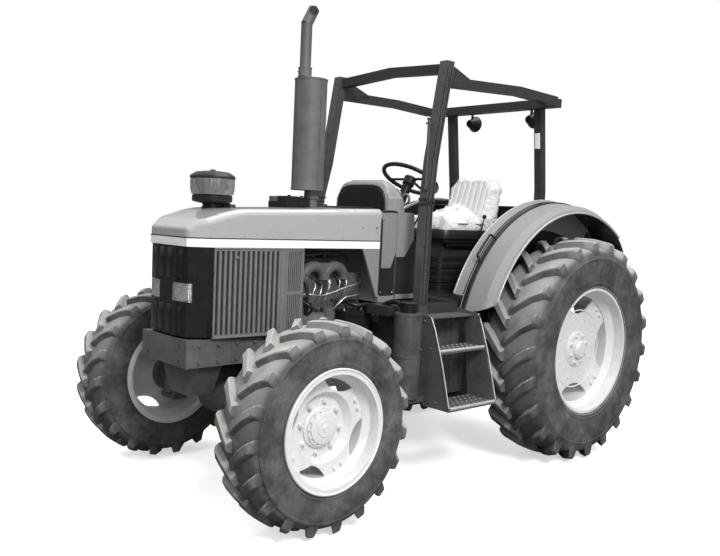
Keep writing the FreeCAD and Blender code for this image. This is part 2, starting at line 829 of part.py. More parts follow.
# ---- bolster and hangers ----
hanger = [("-hanger_half_top", "bolster_low"), ("hanger_half_top", "bolster_low"),
          ("hanger_half_low", "front_tyre_r + hanger_rise"), ("-hanger_half_low", "front_tyre_r + hanger_rise")]
bolster = fuse(
    box(("bolster_back", "bolster_front"), ("-bolster_half_w", "bolster_half_w"), ("bolster_low", "bolster_high")),
    prism("yz", hanger, ("hanger_back", "hanger_front")),
    prism("yz", hanger, ("rear_hanger_back", "rear_hanger_front")),
)
weight_holes = [
    cylinder("x", ("bolster_front - weight_hole_deep", "bolster_front + 1"), (y, z), "weight_hole_r")
    for y in ("-weight_hole_y", "weight_hole_y")
    for z in ("bolster_low / 2 + bolster_high / 2 - weight_hole_z", "bolster_low / 2 + bolster_high / 2 + weight_hole_z")]
pivot_bore = cylinder("x", ("rear_hanger_back", "hanger_front"), ("0", trunnion_z), "pivot_r")
node("front_bolster", cut(bolster, pivot_bore, *weight_holes))

# ---- engine, gearbox and rear axle case ----
node("engine_block", fuse(
    box(("engine_back", "engine_front"), ("-engine_half_w", "engine_half_w"), ("engine_low", "engine_high")),
    box(("engine_back", "sump_front"), ("-sump_half_w", "sump_half_w"), ("sump_low", "engine_low")),
    box(("cover_back", "cover_front"), ("0 - cover_half_w", "cover_half_w"), ("engine_high", "cover_high")),
    cylinder("x", ("pump_back", "pump_front"), ("engine_half_w + pump_r - 12", "pump_z"), "pump_r"),
    cylinder("z", ("filter_low", "filter_high"), ("filter_x", "engine_half_w + filter_r - 8"), "filter_r"),
))


def arch(x):
    """A half ring of pipe that stands over two ports in the engine's side."""
    half = doc.addObject("Part::Torus", "arch")
    bind(half, Radius1="arch_r", Radius2="arch_pipe_r")
    half.Angle3 = 180
    place(half, x, "arch_y", "port_z", turn=ALONG["y"].inverted())
    ports = [cylinder("y", ("engine_half_w", "arch_y"), (f"{x} {sign} arch_r", "port_z"), "port_r") for sign in "+-"]
    return [half, *ports]


node("engine_manifold", fuse(*arch("arch_1_x"), *arch("arch_2_x"),
                             cylinder("x", ("arch_2_x", "arch_1_x"), ("arch_y", "port_z + arch_r"), "rail_pipe_r")))
node("battery_box", fuse(
    box(("battery_back", "battery_front"), ("engine_half_w", "battery_out"), ("battery_low", "battery_high")),
    box(("battery_back - 6", "battery_front + 6"), ("engine_half_w", "battery_out + 6"),
        ("battery_low - tray_t", "battery_low"))))
node("gearbox", box(("gearbox_back - wheelbase", "engine_back"), ("-gearbox_half_w", "gearbox_half_w"),
                    ("gearbox_low", "gearbox_high")))
RX, RZ = "0 - wheelbase", "rear_tyre_r"
case = [box(("case_back - wheelbase", "gearbox_back - wheelbase"), ("-case_half_w", "case_half_w"), ("case_low", "case_high"))]
for lo, hi in both("case_half_w", "trumpet_out"):
    case.append(cylinder("y", (lo, hi), (RX, RZ), "trumpet_r"))
for lo, hi in both("trumpet_out", "trumpet_out + trumpet_flange_w"):
    case.append(cylinder("y", (lo, hi), (RX, RZ), "trumpet_flange_r"))
for lo, hi in both("rock_ear_in", "rock_ear_out"):
    case.append(box(("rock_x - wheelbase - 62", "rock_x - wheelbase + 62"), (lo, hi), ("case_high", "rock_z + rock_r + 18")))
for lo, hi in both("case_half_w", "link_pivot_y + link_half_t + side_gap + 18"):
    case.append(cylinder("y", (lo, hi), ("link_pivot_x - wheelbase", "link_pivot_z"), "pin_r"))
for lo, hi in both("eye_t / 2 + side_gap", "eye_t / 2 + side_gap + 16"):
    case.append(box(("top_link_x - wheelbase - 34", "case_back - wheelbase"), (lo, hi), ("top_link_z - 34", "top_link_z + 34")))
case.append(cylinder("y", ("-eye_t / 2 - side_gap - 16", "eye_t / 2 + side_gap + 16"),
                     ("top_link_x - wheelbase", "top_link_z"), "pin_r"))
case.append(box(("case_back - wheelbase - 12", "case_back - wheelbase"), ("-20", "20"), ("case_high - 40", "case_high")))
case.append(box(("case_back - wheelbase + 40", "case_back - wheelbase + 40 + drawbar_hang_len"), ("-70", "70"), ("drawbar_high", "case_low")))
case.append(box(("drawbar_hang_x - wheelbase", "drawbar_hang_x - wheelbase + drawbar_hang_len"), ("-70", "70"), ("drawbar_high", "case_low")))
bores = [cylinder("y", (lo, hi), (RX, RZ), "shaft_r + running_fit")
         for lo, hi in both("shaft_in - 20", "trumpet_out + trumpet_flange_w")]
bores.append(cylinder("y", ("0 - rock_ear_out - 10", "rock_ear_out + 10"), ("rock_x - wheelbase", "rock_z"), "rock_r + running_fit"))
node("rear_axle_case", cut(fuse(*case), *bores))
node("drawbar", cut(
    box(("drawbar_back - wheelbase", "drawbar_front - wheelbase"), ("-drawbar_half_w", "drawbar_half_w"), ("drawbar_low", "drawbar_high")),
    cylinder("z", ("drawbar_low - 1", "drawbar_high + 1"), ("drawbar_pin_back - wheelbase", "0"), "drawbar_hole_r")))

# ---- lift arms, rods and links at the back ----
LX, LZ = "link_pivot_x - wheelbase", "link_pivot_z"
run = math.hypot(SIZES["link_end_x"] - SIZES["link_pivot_x"], SIZES["link_end_z"] - SIZES["link_pivot_z"])
SHARE = SIZES["link_rod_at"] / run
arm_dx = SHARE * (SIZES["link_end_x"] - SIZES["link_pivot_x"])
arm_dz = SHARE * (SIZES["link_end_z"] - SIZES["link_pivot_z"])
ROD_LX, ROD_LZ = f"{LX} - {-arm_dx:.4f}", f"{LZ} - {-arm_dz:.4f}"
ROD_TX, ROD_TZ = f"rock_x - wheelbase - {-arm_dx:.4f}", f"rock_z - {-arm_dz:.4f}"


def station(x, y, z, half_y, half_z):
    return (x, rect(y, z, half_y, half_z))


link_body = loft("yz", [station(LX, "link_pivot_y", LZ, "link_half_t", "link_half_h"),
                        station("link_end_x - wheelbase", "link_end_y", "link_end_z", "link_half_t", "link_half_h")])
mid_y = f"link_pivot_y + {SHARE:.5f} * link_end_y - {SHARE:.5f} * link_pivot_y"
link_pin = cylinder("y", (f"{mid_y} - link_half_t - side_gap - eye_t", mid_y), (ROD_LX, ROD_LZ), "pin_r")
link = cut(
    fuse(link_body,
         cylinder("y", ("link_pivot_y - link_half_t", "link_pivot_y + link_half_t"), (LX, LZ), "ball_boss_r"),
         cylinder("y", ("link_end_y - 20", "link_end_y + 20"), ("link_end_x - wheelbase", "link_end_z"), "ball_boss_r"),
         link_pin),
    cylinder("y", ("link_pivot_y - 30", "link_pivot_y + 30"), (LX, LZ), "pin_r + running_fit"),
    cylinder("y", ("link_end_y - 30", "link_end_y + 30"), ("link_end_x - wheelbase", "link_end_z"), "ball_r"))
pair("lower_link", link)

ARM_OUT = "lift_arm_y + lift_arm_t / 2"
arm_parts = [cylinder("y", ("-lift_arm_y - lift_arm_t / 2", "lift_arm_y + lift_arm_t / 2"),
                      ("rock_x - wheelbase", "rock_z"), "rock_r")]
for side in ("", "-"):
    y = f"{side}lift_arm_y"
    arm_parts.append(loft("yz", [station("rock_x - wheelbase", y, "rock_z", "lift_arm_t / 2", "link_half_h + 10"),
                                 station(ROD_TX, y, ROD_TZ, "lift_arm_t / 2", "eye_r")]))
for lo, hi in both("lift_arm_y - lift_arm_t / 2", "lift_arm_y + lift_arm_t / 2"):
    arm_parts.append(cylinder("y", (lo, hi), ("rock_x - wheelbase", "rock_z"), "rock_r + 22"))
    arm_parts.append(cylinder("y", (lo, hi), (ROD_TX, ROD_TZ), "eye_r"))
for lo, hi in both("lift_arm_y", "lift_arm_y + lift_arm_t / 2 + side_gap + eye_t"):
    arm_parts.append(cylinder("y", (lo, hi), (ROD_TX, ROD_TZ), "pin_r"))
node("lift_arms", fuse(*arm_parts))

top_y = (f"{ARM_OUT} + side_gap", f"{ARM_OUT} + side_gap + eye_t")
low_y = (f"{mid_y} - link_half_t - side_gap - eye_t", f"{mid_y} - link_half_t - side_gap")
rod_bar = loft("xy", [
    (ROD_LZ, rect(ROD_LX, f"{low_y[0]} + eye_t / 2", "lift_rod_r - 5", "11")),
    (ROD_TZ, rect(ROD_TX, f"{top_y[0]} + eye_t / 2", "lift_rod_r - 5", "11"))])
rod_eyes = [cylinder("y", top_y, (ROD_TX, ROD_TZ), "eye_r"), cylinder("y", low_y, (ROD_LX, ROD_LZ), "eye_r")]
rod_bores = [cylinder("y", (f"{span[0]} - 9", f"{span[1]} + 9"), at, "pin_r + running_fit")
             for span, at in ((top_y, (ROD_TX, ROD_TZ)), (low_y, (ROD_LX, ROD_LZ)))]
pair("lift_rod", cut(fuse(rod_bar, *rod_eyes), *rod_bores))

# ---- hood, band, nose and side panels: thin shells ----


def plan(inset):
    """The hood's outline from above, drawn in from the sides and the nose."""
    rows = [(f"hood_nose_x - {inset}", "hood_nose_half"), ("hood_wide_x", "hood_wide_half"),
            ("hood_back", "hood_back_half")]
    if inset != "0":
        rows.append(("hood_back - 10", "hood_back_half"))
    return [(x, f"{y} - {inset}") for x, y in rows] + [(x, f"{inset} - {y}") for x, y in reversed(rows)]


def hood_side(inset, extra):
    """The hood seen from its side, drawn in from the top and the nose and let out below and behind."""
    back = f"hood_back - {extra}"
    return [(f"hood_nose_x - {inset}", f"hood_low - {extra}"), (f"hood_nose_x - {inset}", f"hood_low + hood_lip_rise - {inset}"),
            ("hood_brow_x", f"hood_low + hood_brow_rise - {inset}"), ("hood_rise_x", f"hood_low + hood_front_rise - {inset}"),
            (back, f"hood_low + hood_back_rise - {inset}"), (back, f"hood_low - {extra}")]


def rounded(obj, radii):
    """obj with edges rounded off: radii gives each edge its radius, or none to leave it sharp."""
    doc.recompute()
    result = doc.addObject("Part::Fillet", "rounded")
    result.Base = obj
    chosen = [(i, radii(edge)) for i, edge in enumerate(obj.Shape.Edges, start=1)]
    result.Edges = [(i, r, r) for i, r in chosen if r]
    return result


def across(edge):
    """The radius of an edge that runs across the hood: small at the lip, wide on top."""
    ends = [v.Point for v in edge.Vertexes]
    level = ends[0].z - SIZES["hood_low"]
    if min(p.z for p in ends) < SIZES["hood_low"] + 5 or abs(ends[0].x - ends[-1].x) > 1 or abs(ends[0].z - ends[-1].z) > 1:
        return 0
    if ends[0].x < SIZES["front_axle_x"] + SIZES["hood_back"] + 1:
        return 0
    if level < SIZES["hood_brow_rise"] - 10:
        return SIZES["hood_lip_round"]
    return SIZES["hood_brow_round"] if level < SIZES["hood_front_rise"] - 10 else SIZES["hood_crown_round"]


def shoulder(edge):
    """The radius of an edge along the hood's side."""
    ends = [v.Point for v in edge.Vertexes]
    low = min(p.z for p in ends) < SIZES["hood_low"] + 5
    return 0 if low or abs(ends[0].y - ends[-1].y) > 150 or abs(ends[0].x - ends[-1].x) < 4 else SIZES["hood_shoulder"]


def hood_solid(inset, extra):
    body = doc.addObject("Part::Common", "hood_body")
    body.Base = prism("xy", plan(inset), (f"hood_low - {extra}", "hood_low + hood_back_rise + 10"))
    body.Tool = prism("xz", hood_side(inset, extra), ("0 - hood_back_half - 10", "hood_back_half + 10"))
    return body


HOOD_TOP = "hood_low + hood_back_rise"
node("hood", cut(rounded(rounded(hood_solid("0", "0"), across), shoulder), hood_solid("hood_skin", "10"),
                 cylinder("z", ("hood_low", f"{HOOD_TOP} + 20"), ("stack_foot_x", "stack_y"), "foot_r + stack_gap"),
                 cylinder("z", ("hood_low", HOOD_TOP), ("pre_x", "pre_y"), "pre_neck_r")))
node("hood_band", cut(prism("xy", plan("0"), ("band_low", "hood_low")),
                      prism("xy", plan("band_skin"), ("band_low - 1", "hood_low + 1"))))
slope = (SIZES["hood_back_half"] - SIZES["hood_wide_half"]) / (SIZES["hood_wide_x"] - SIZES["hood_back"])


def flank(x):
    """The half width of the hood's side line at x."""
    return f"hood_wide_half + {slope:.5f} * hood_wide_x - {slope:.5f} * {x}"


def minus(text):
    """The same sum with every sign turned."""
    return "0 - " + text.replace(" - ", " # ").replace(" + ", " - ").replace(" # ", " + ")


def nose_plan(inset, back="nose_back"):
    rows = [(f"nose_front - {inset}", "nose_face_half", "0"), (f"nose_corner_x - {inset}", "hood_nose_half - 6", inset),
            ("hood_wide_x - 6", "hood_wide_half - 6", inset), (back, flank("nose_back"), inset)]
    left = [(x, f"{y} - {less}") for x, y, less in rows]
    return left + [(x, minus(y)) for x, y in reversed(left)]


nose_hole = prism("xy", nose_plan("nose_skin", "nose_back - 1"), ("nose_low - 1", "band_low - nose_skin"))
lamp_gaps = [box(("hood_wide_x + 22", "nose_front + 1"), span, ("lamp_low", "lamp_high"))
             for span in both("lamp_in", "hood_nose_half + 10")]
grooves = [box(("nose_front - nose_groove", "nose_front + 1"), (f"{y} - 5", f"{y} + 5"), span)
           for y in [f"{k} * nose_groove_pitch" for k in ("0 - 1.5", "0 - 0.5", "0.5", "1.5")] for span in
           (("nose_low - 1", "lamp_low - 12"), ("lamp_high + 12", "band_low - nose_skin"))]
nose_block = prism("xy", nose_plan("0"), ("nose_low", "band_low"))
node("nose_grille", cut(nose_block, nose_hole, *lamp_gaps, *grooves))
lamp_block = doc.addObject("Part::Common", "lamp")
lamp_block.Base = cut(prism("xy", nose_plan("lamp_recess"), ("nose_low", "band_low")), nose_hole)
lamp_block.Tool = lamp_gaps[0]
pair("headlamp", lamp_block)
PANEL_BACK = flank("panel_back")
side_panel = prism("xy", [
    ("nose_back", flank("nose_back")), ("panel_back", PANEL_BACK),
    ("panel_back", f"{PANEL_BACK} - panel_skin"), ("nose_back", f"{flank('nose_back')} - panel_skin")],
    ("panel_low", "band_low"))


def slots(first, pitch, gap, count, spans):
    """Upright slots cut rib_deep into the side panel, one behind the other."""
    found = []
    for k in range(count):
        ahead = f"{first} - {k} * {pitch}"
        for span in spans:
            found.append(prism("xy", [(ahead, f"{flank(first)} + {slope:.5f} * {k} * {pitch} - rib_deep"),
                                      (ahead, "hood_back_half"), (f"{ahead} - {gap}", "hood_back_half"),
                                      (f"{ahead} - {gap}", f"{flank(first)} + {slope:.5f} * {k} * {pitch} - rib_deep")], span))
    return found


RIB_Z = ("panel_low + rib_border", "band_low - rib_border")
ribs = slots("rib_first", "rib_pitch", "rib_gap", 13, [RIB_Z])
ribs += slots("louvre_first", "louvre_pitch", "louvre_gap", 7, [(RIB_Z[0], "panel_bar_low"), ("panel_bar_high", RIB_Z[1])])
pair("side_grille", cut(side_panel, *ribs))
node("radiator", box(("60", "200"), ("-225", "225"), ("bolster_high", "hood_low - 15")))

# ---- stack and pre-cleaner ----
lid = doc.addObject("Part::Cone", "lid")
bind(lid, Radius1="pre_r + 3", Radius2="pre_lid_r", Height="pre_high - 10 - pre_lid_low")
node("air_precleaner", fuse(
    cylinder("z", ("hood_low", "pre_low"), ("pre_x", "pre_y"), "pre_neck_r"),
    cylinder("z", ("pre_low", "pre_base_high"), ("pre_x", "pre_y"), "pre_base_r"),
    cylinder("z", ("pre_base_high", "pre_lid_low"), ("pre_x", "pre_y"), "pre_r"),
    place(lid, "pre_x", "pre_y", "pre_lid_low"),
    cylinder("z", ("pre_high - 10", "pre_high"), ("pre_x", "pre_y"), "pre_knob_r")))

# ---- cowl, dash and steering wheel ----
tail = [("tail_top_front", "band_low"), ("hood_back", "band_low"), ("hood_back", "tail_low"),
        ("tail_low_front", "tail_low")]
tails = [prism("xz", tail, span) for span in both("hood_back_half - 14", "hood_back_half")]
node("cowl", fuse(box(("cowl_back", "hood_back"), ("-cowl_half_w", "cowl_half_w"), ("floor_high", "cowl_high")), *tails))
dash_side = [("cowl_back", "floor_high"), ("cowl_back", "dash_nose_high"), ("cowl_back - 8", "dash_crest - 40"),
             ("cowl_back - 50", "dash_crest"), ("cowl_back - 92", "dash_crest - 12"), ("cowl_back - 142", "dash_nose_high + 60"),
             ("cowl_back - dash_deep", "dash_nose_high - 100"), ("cowl_back - dash_deep + 70", "floor_high")]
dash_front = [("-dash_half_w", "floor_high - 1"), ("dash_half_w", "floor_high - 1"), ("dash_half_w", "dash_crest - 122"),
              ("dash_half_w - 45", "dash_crest - 42"), ("dash_half_w - 110", "dash_crest"), ("110 - dash_half_w", "dash_crest"),
              ("45 - dash_half_w", "dash_crest - 42"), ("-dash_half_w", "dash_crest - 122")]
HX, HZ = "wheel_hub_x", "wheel_hub_z"


def leaning(obj, foot, lean, along, turn="0", y="0"):
    """Stands obj on a line that leans forward from foot, at a distance along it, then turns it about Y."""
    place(obj, f"{foot[0]} + ({along}) * sin({lean})", y, f"{foot[1]} + ({along}) * cos({lean})",
          turn=FreeCAD.Rotation(V(0, 1, 0), 1))
    return bind(obj, Placement__Rotation__Angle=f"{lean} + ({turn})")


def bar(radius, length):
    obj = doc.addObject("Part::Cylinder", "bar")
    return bind(obj, Radius=radius, Height=length)


def tilted(obj, along, turn="0"):
    return leaning(obj, (HX, HZ), "-wheel_tilt", along, turn)


grip = doc.addObject("Part::Torus", "grip")
bind(grip, Radius1="wheel_rim_r", Radius2="wheel_grip_r")
node("steering_wheel", fuse(
    tilted(grip, "0"),
    tilted(bar("wheel_hub_r", "wheel_hub_h"), "-wheel_hub_h"),
    tilted(bar("wheel_shaft_r", "80"), "-wheel_hub_h - 80"),
    cylinder("y", ("-wheel_rim_r", "wheel_rim_r"), (HX, HZ), "9"),
    tilted(bar("9", "wheel_rim_r"), "0", turn="-90")))
console = doc.addObject("Part::Common", "console")
console.Base = prism("xz", dash_side, ("-dash_half_w", "dash_half_w"))
console.Tool = prism("yz", dash_front, ("cowl_back - dash_deep - 10", "cowl_back + 1"))
node("dash_console", cut(fuse(console, tilted(bar("shroud_r", "shroud_len"), "-shroud_start - shroud_len")),
                         box(("cowl_back", "hood_back"), ("-cowl_half_w", "cowl_half_w"), ("floor_high", "cowl_high"))))
column = cut(
    tilted(bar("column_r", "shroud_start - wheel_hub_h - column_gap"), "-shroud_start"),
    tilted(bar("wheel_shaft_r + running_fit", "120"), "-wheel_hub_h - 120"))
node("steering_column", column)

node("exhaust_stack", fuse(
    cylinder("z", ("engine_high", "muffler_low"), ("stack_foot_x", "stack_y"), "foot_r"),
    cylinder("z", ("muffler_low", "muffler_high"), ("stack_x", "stack_y"), "muffler_r"),
    cylinder("z", ("muffler_high", "tail_bend_z"), ("tail_pipe_x", "stack_y"), "tail_pipe_r"),
    cylinder("z", ("muffler_high + 12", "muffler_high + 12 + collar_len"), ("tail_pipe_x", "stack_y"), "collar_r"),
    cylinder("z", ("muffler_low - collar_len", "muffler_low"), ("stack_foot_x", "stack_y"), "foot_r + 8"),
    box(("stack_foot_x", "shield_front"), ("0 - shield_out", "stack_y"), ("shield_low", "shield_high")),
    leaning(bar("tail_pipe_r", "tail_bend_len"), ("tail_pipe_x", "tail_bend_z"), "tail_bend_lean", "-10", y="stack_y")))

FOOT = ("top_link_x - wheelbase", "top_link_z")
TIP = ("top_link_x - wheelbase + top_link_len * sin(top_link_lean)", "top_link_z + top_link_len * cos(top_link_lean)")
top_bar = fuse(leaning(bar("top_neck_r", "top_link_len - 40"), FOOT, "top_link_lean", "20"),
               leaning(bar("top_link_r", "top_link_len - 120"), FOOT, "top_link_lean", "60"))
top_ends = [cylinder("y", ("-eye_t / 2", "eye_t / 2"), at, "eye_r + 8") for at in (FOOT, TIP)]
top_bores = [cylinder("y", ("-eye_t", "eye_t"), FOOT, "pin_r + running_fit"),
             cylinder("y", ("-eye_t", "eye_t"), TIP, "top_eye_r")]
node("top_link", cut(fuse(top_bar, *top_ends), *top_bores))

# ---- platform, deck, tank, canister and steps ----
floor = fuse(
    box(("floor_wing_back - wheelbase", "floor_front"), ("-floor_half_w", "floor_half_w"), ("floor_low", "floor_high")),
    box(("floor_back - wheelbase", "floor_wing_back - wheelbase"), ("-fender_in", "fender_in"), ("floor_low", "floor_high")),
    box(("deck_back - wheelbase", "floor_back - wheelbase"), ("-fender_in", "fender_in"), ("case_high", "deck_high")))
node("platform", cut(floor, box(("floor_notch_back", "floor_front + 10"), ("-floor_notch_half", "floor_notch_half"),
                                ("floor_low - 1", "floor_high + 1"))))
tank = box(("tank_back - wheelbase", "tank_front"), ("tank_in", "floor_half_w - tank_inset"), ("tank_low", "floor_low"))
pair("fuel_tank", tank)
node("side_canister", fuse(
    cylinder("z", ("can_low", "can_high"), ("can_x", "floor_half_w + can_outset"), "can_r"),
    cylinder("z", ("can_high", "can_neck_high"), ("can_x", "floor_half_w + can_outset"), "can_neck_r"),
    box(("tank_front", "can_x + can_r"), ("tank_in", "floor_half_w + can_outset + 64"), ("shelf_low", "can_low"))))
step_side = [("floor_half_w", "step_hang_high"), ("floor_half_w + step_top_out - 40", "step_top_z + 15"), ("floor_half_w + step_top_out", "step_top_z"),
             ("floor_half_w + tread_out", "step_low + 25"), ("floor_half_w + tread_out", "step_low"), ("floor_half_w + tread_in", "step_low"),
             ("floor_half_w + tread_in - 60", "step_hang_low"), ("floor_half_w", "step_hang_low")]
steps = fuse(
    prism("yz", step_side, ("step_front - step_plate", "step_front")),
    prism("yz", step_side, ("step_back - wheelbase", "step_back - wheelbase + step_plate")),
    box(("step_back - wheelbase", "step_front"), ("floor_half_w + tread_in", "floor_half_w + tread_out"), ("step_low", "step_low + step_tread")),
    box(("step_back - wheelbase", "step_front"), ("floor_half_w + mid_tread_in", "floor_half_w + mid_tread_out"), ("step_mid", "step_mid + step_tread")),
    box(("step_back - wheelbase", "step_front"), ("floor_half_w", "floor_half_w + step_top_out - 50"), ("step_top_z - 10", "step_top_z")))

# ---- fenders ----
fender_profile = [
    ("fender_in", "fender_r"),
    ("fender_out - fender_corner - 150", "fender_r - 18"),
    ("fender_out - fender_corner", "fender_r - fender_lip_drop * 0.42"),
    ("fender_out - 12", "fender_r - fender_lip_drop * 0.75"),
    ("fender_out", "fender_r - fender_lip_drop"),
    ("fender_out - fender_skin", "fender_r - fender_lip_drop - 3"),
    ("fender_out - fender_skin - 11", "fender_r - fender_lip_drop * 0.75 - 6"),
    ("fender_out - fender_corner - 3", "fender_r - fender_lip_drop * 0.42 - fender_skin"),
    ("fender_out - fender_corner - 152", "fender_r - 18 - fender_skin"),
    ("fender_in + fender_skin", "fender_r - fender_skin"),
    ("fender_in + fender_skin", "fender_wall_r"),
    ("fender_in", "fender_wall_r"),
]
fender = turned(fender_profile, RX, RZ, "fender_sweep", 90 - SIZES["fender_start"])
pair("fender", fender)

# ---- roll-over frame ----


def leg(rows, wide, thick):
    return loft("xy", [(z, rect(x, y, f"{wide} / 2", f"{thick} / 2")) for x, y, z in rows])


front_rows = [("post_low_x", "floor_half_w + post_outset", "post_low_z"), ("post_clamp_x", "post_clamp_y", "post_clamp_z"),
              ("post_mid_x", "post_mid_y", "post_mid_z"), ("post_top_x", "post_top_y", "post_top_z")]
back_rows = [("rear_post_x - wheelbase", "rear_post_y", "rear_post_low"),
             ("rear_post_mid_x - wheelbase", "rear_post_y", "rear_post_mid"),
             ("rear_post_top_x - wheelbase", "rear_post_y", "rear_post_top")]


def rail(side):
    rows = [("post_top_x + 20", f"{side}post_top_y", "rail_front_z"),
            ("rail_kink_x - wheelbase", f"{side}rail_kink_y", "rail_kink_z"),
            ("rail_back_x - wheelbase", f"{side}rail_back_y", "rail_back_z")]
    return loft("yz", [(x, rect(y, z, "rail_w / 2", "rail_w / 2")) for x, y, z in rows])


HEAD_Z = "post_top_z - rail_w / 2 - header_crown / 2"


def roof():
    header = loft("xz", [(y, rect("post_top_x - 20", z, "rail_w / 2", "rail_w / 2")) for y, z in (
        ("0 - post_top_y", HEAD_Z), ("0", f"{HEAD_Z} + header_crown"), ("post_top_y", HEAD_Z))])
    rear = box(("rear_post_top_x - wheelbase - 10", "rail_back_x - wheelbase"), ("0 - rail_back_y", "rail_back_y"),
               ("rail_back_z - rail_w / 2 - 4", "rail_back_z + rail_w / 2 - 4"))
    corner = [("post_top_x - 10", "rail_front_z"), ("post_top_x - gusset_len", "rail_front_z + rail_w / 2 - 2"),
              ("post_top_x - 50", f"{HEAD_Z} + rail_w / 2"), ("post_top_x - 10", f"{HEAD_Z} + rail_w / 2")]
    gussets = [prism("xz", corner, span) for span in both("post_top_y - gusset_t", "post_top_y")]
    return fuse(rail(""), rail("-"), header, rear, *gussets)


roof_frame = roof()
lamp_stem = ("lamp_arm_x - wheelbase", "lamp_y")
bowl = doc.addObject("Part::Cone", "bowl")
bind(bowl, Radius1="lamp_r", Radius2="lamp_r * 0.45", Height="lamp_deep")
place(bowl, "lamp_arm_x - wheelbase - lamp_deep / 2", "lamp_y", "lamp_z", turn=ALONG["x"])
pair("work_lamp", fuse(
    bowl,
    cylinder("z", ("lamp_z", "rail_back_z"), lamp_stem, "lamp_arm_t"),
    box(("lamp_arm_x - wheelbase - lamp_arm_t", "rear_post_top_x - wheelbase - 10"), ("lamp_y - 14", "lamp_y + 14"),
        ("rail_back_z - lamp_arm_t", "rail_back_z"))))
floor_block = box(("floor_wing_back - wheelbase", "floor_front"), ("0 - floor_half_w", "floor_half_w"), ("floor_low", "floor_high"))
front_leg = leg(front_rows, "post_w", "post_t")
node("rops_roof", roof_frame)
grab = fuse(cut(front_leg, floor_block, roof_frame), cylinder("z", ("grab_low_z", "grab_top_z"), ("grab_x", "grab_y"), "grab_r"), *[
    box(("grab_x - 60", "grab_x + 6"), ("grab_y - 20", "grab_y + 6"), (z, f"{z} + 12")) for z in ("grab_low_z + 20", "grab_top_z - 32")])
pair("rops_front_post", grab)
rear_leg = fuse(leg(back_rows, "rear_post_w", "rear_post_t"),
                box(("rear_post_x - wheelbase - 60", "rear_post_x - wheelbase + 130"),
                    ("rear_post_y - 40", "rear_post_y + 40"), (f"{RZ}", "rear_post_low + 40")))
pair("rops_rear_post", cut(rear_leg, roof_frame, cylinder("y", ("case_half_w", "trumpet_out"), (RX, RZ), "trumpet_r")))
pair("steps", cut(steps, front_leg))

# ---- seat ----
node("seat_base", box(("seat_back_x - wheelbase", "seat_front - wheelbase - 40"), ("-seat_base_half", "seat_base_half"),
                      ("deck_high", "seat_low")))
node("seat_cushion", box(("seat_back_x - wheelbase", "seat_front - wheelbase"), ("-seat_half_w", "seat_half_w"),
                         ("seat_low + soft_gap", "seat_high")))
back_face = [("seat_back_x - wheelbase - soft_gap", "seat_low"), ("seat_back_x - wheelbase - soft_gap", "seat_high"),
             ("seat_back_x - wheelbase - back_lean", "back_high"), ("seat_back_x - wheelbase - back_lean - back_thick / 2", "back_high"),
             ("seat_back_x - wheelbase - back_thick", "seat_low")]
back_front = [("-seat_half_w", "seat_low - 1"), ("seat_half_w", "seat_low - 1"), ("seat_half_w", "back_high - back_corner_z"),
              ("seat_half_w - back_corner_y", "back_high"), ("back_corner_y - seat_half_w", "back_high"),
              ("-seat_half_w", "back_high - back_corner_z")]
back_pad = doc.addObject("Part::Common", "back_pad")
back_pad.Base = prism("xz", back_face, ("-seat_half_w", "seat_half_w"))
back_pad.Tool = prism("yz", back_front, ("seat_back_x - wheelbase - back_lean - back_thick", "seat_back_x - wheelbase + 1"))
node("seat_back", back_pad)

# ---- the files ----
doc.recompute()
for obj in doc.Objects:
    for state in ("Invalid", "Error"):
        if state in obj.State:
            raise RuntimeError(f"{obj.Label}: {state}")
for obj in NODES:
    shape = obj.Shape
    if shape.isNull() or not shape.isValid():
        raise RuntimeError(f"{obj.Label}: bad shape")
    if len(shape.Solids) != 1:
        raise RuntimeError(f"{obj.Label}: {len(shape.Solids)} solids")
    shape.exportStep(f"parts/{obj.Label}.step")
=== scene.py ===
"""Looks of a farm tractor: tyres, lamps, trim, engine detail, seat covers and finishes around its CAD frame."""

import json
import math

import bmesh
import bpy
import numpy as np
from mathutils import Matrix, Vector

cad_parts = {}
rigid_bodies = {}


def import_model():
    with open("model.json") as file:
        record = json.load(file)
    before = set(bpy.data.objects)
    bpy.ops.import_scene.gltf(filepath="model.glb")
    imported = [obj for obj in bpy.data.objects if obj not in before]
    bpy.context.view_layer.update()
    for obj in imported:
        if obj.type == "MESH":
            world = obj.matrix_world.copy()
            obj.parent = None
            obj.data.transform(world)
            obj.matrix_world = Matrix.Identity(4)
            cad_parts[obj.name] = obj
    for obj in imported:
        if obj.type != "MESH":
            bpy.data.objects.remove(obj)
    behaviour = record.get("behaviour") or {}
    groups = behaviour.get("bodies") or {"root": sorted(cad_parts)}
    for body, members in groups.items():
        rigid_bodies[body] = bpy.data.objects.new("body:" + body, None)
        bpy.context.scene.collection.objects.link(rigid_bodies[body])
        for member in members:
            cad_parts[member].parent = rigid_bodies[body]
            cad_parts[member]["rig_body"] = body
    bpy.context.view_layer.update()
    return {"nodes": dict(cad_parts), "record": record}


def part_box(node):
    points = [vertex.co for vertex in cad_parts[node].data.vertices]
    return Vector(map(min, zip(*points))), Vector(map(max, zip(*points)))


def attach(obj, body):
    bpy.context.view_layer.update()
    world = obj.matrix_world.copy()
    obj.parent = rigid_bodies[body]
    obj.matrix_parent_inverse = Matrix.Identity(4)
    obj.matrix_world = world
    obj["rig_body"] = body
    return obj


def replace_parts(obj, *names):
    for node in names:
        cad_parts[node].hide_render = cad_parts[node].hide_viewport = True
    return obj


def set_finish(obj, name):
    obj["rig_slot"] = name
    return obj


bl_info = {
    "name": "Farm Tractor",
    "version": (1, 0, 0),
    "blender": (4, 5, 0),
    "location": "View3D > Sidebar > Tractor",
    "description": "Dresses a farm tractor's frame with its tyres, trim, engine detail, seat and finishes",
    "category": "Object",
}

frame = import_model()
SIDES = (("left", 1), ("right", -1))
OUTWARD = {1: "y", -1: "-y"}


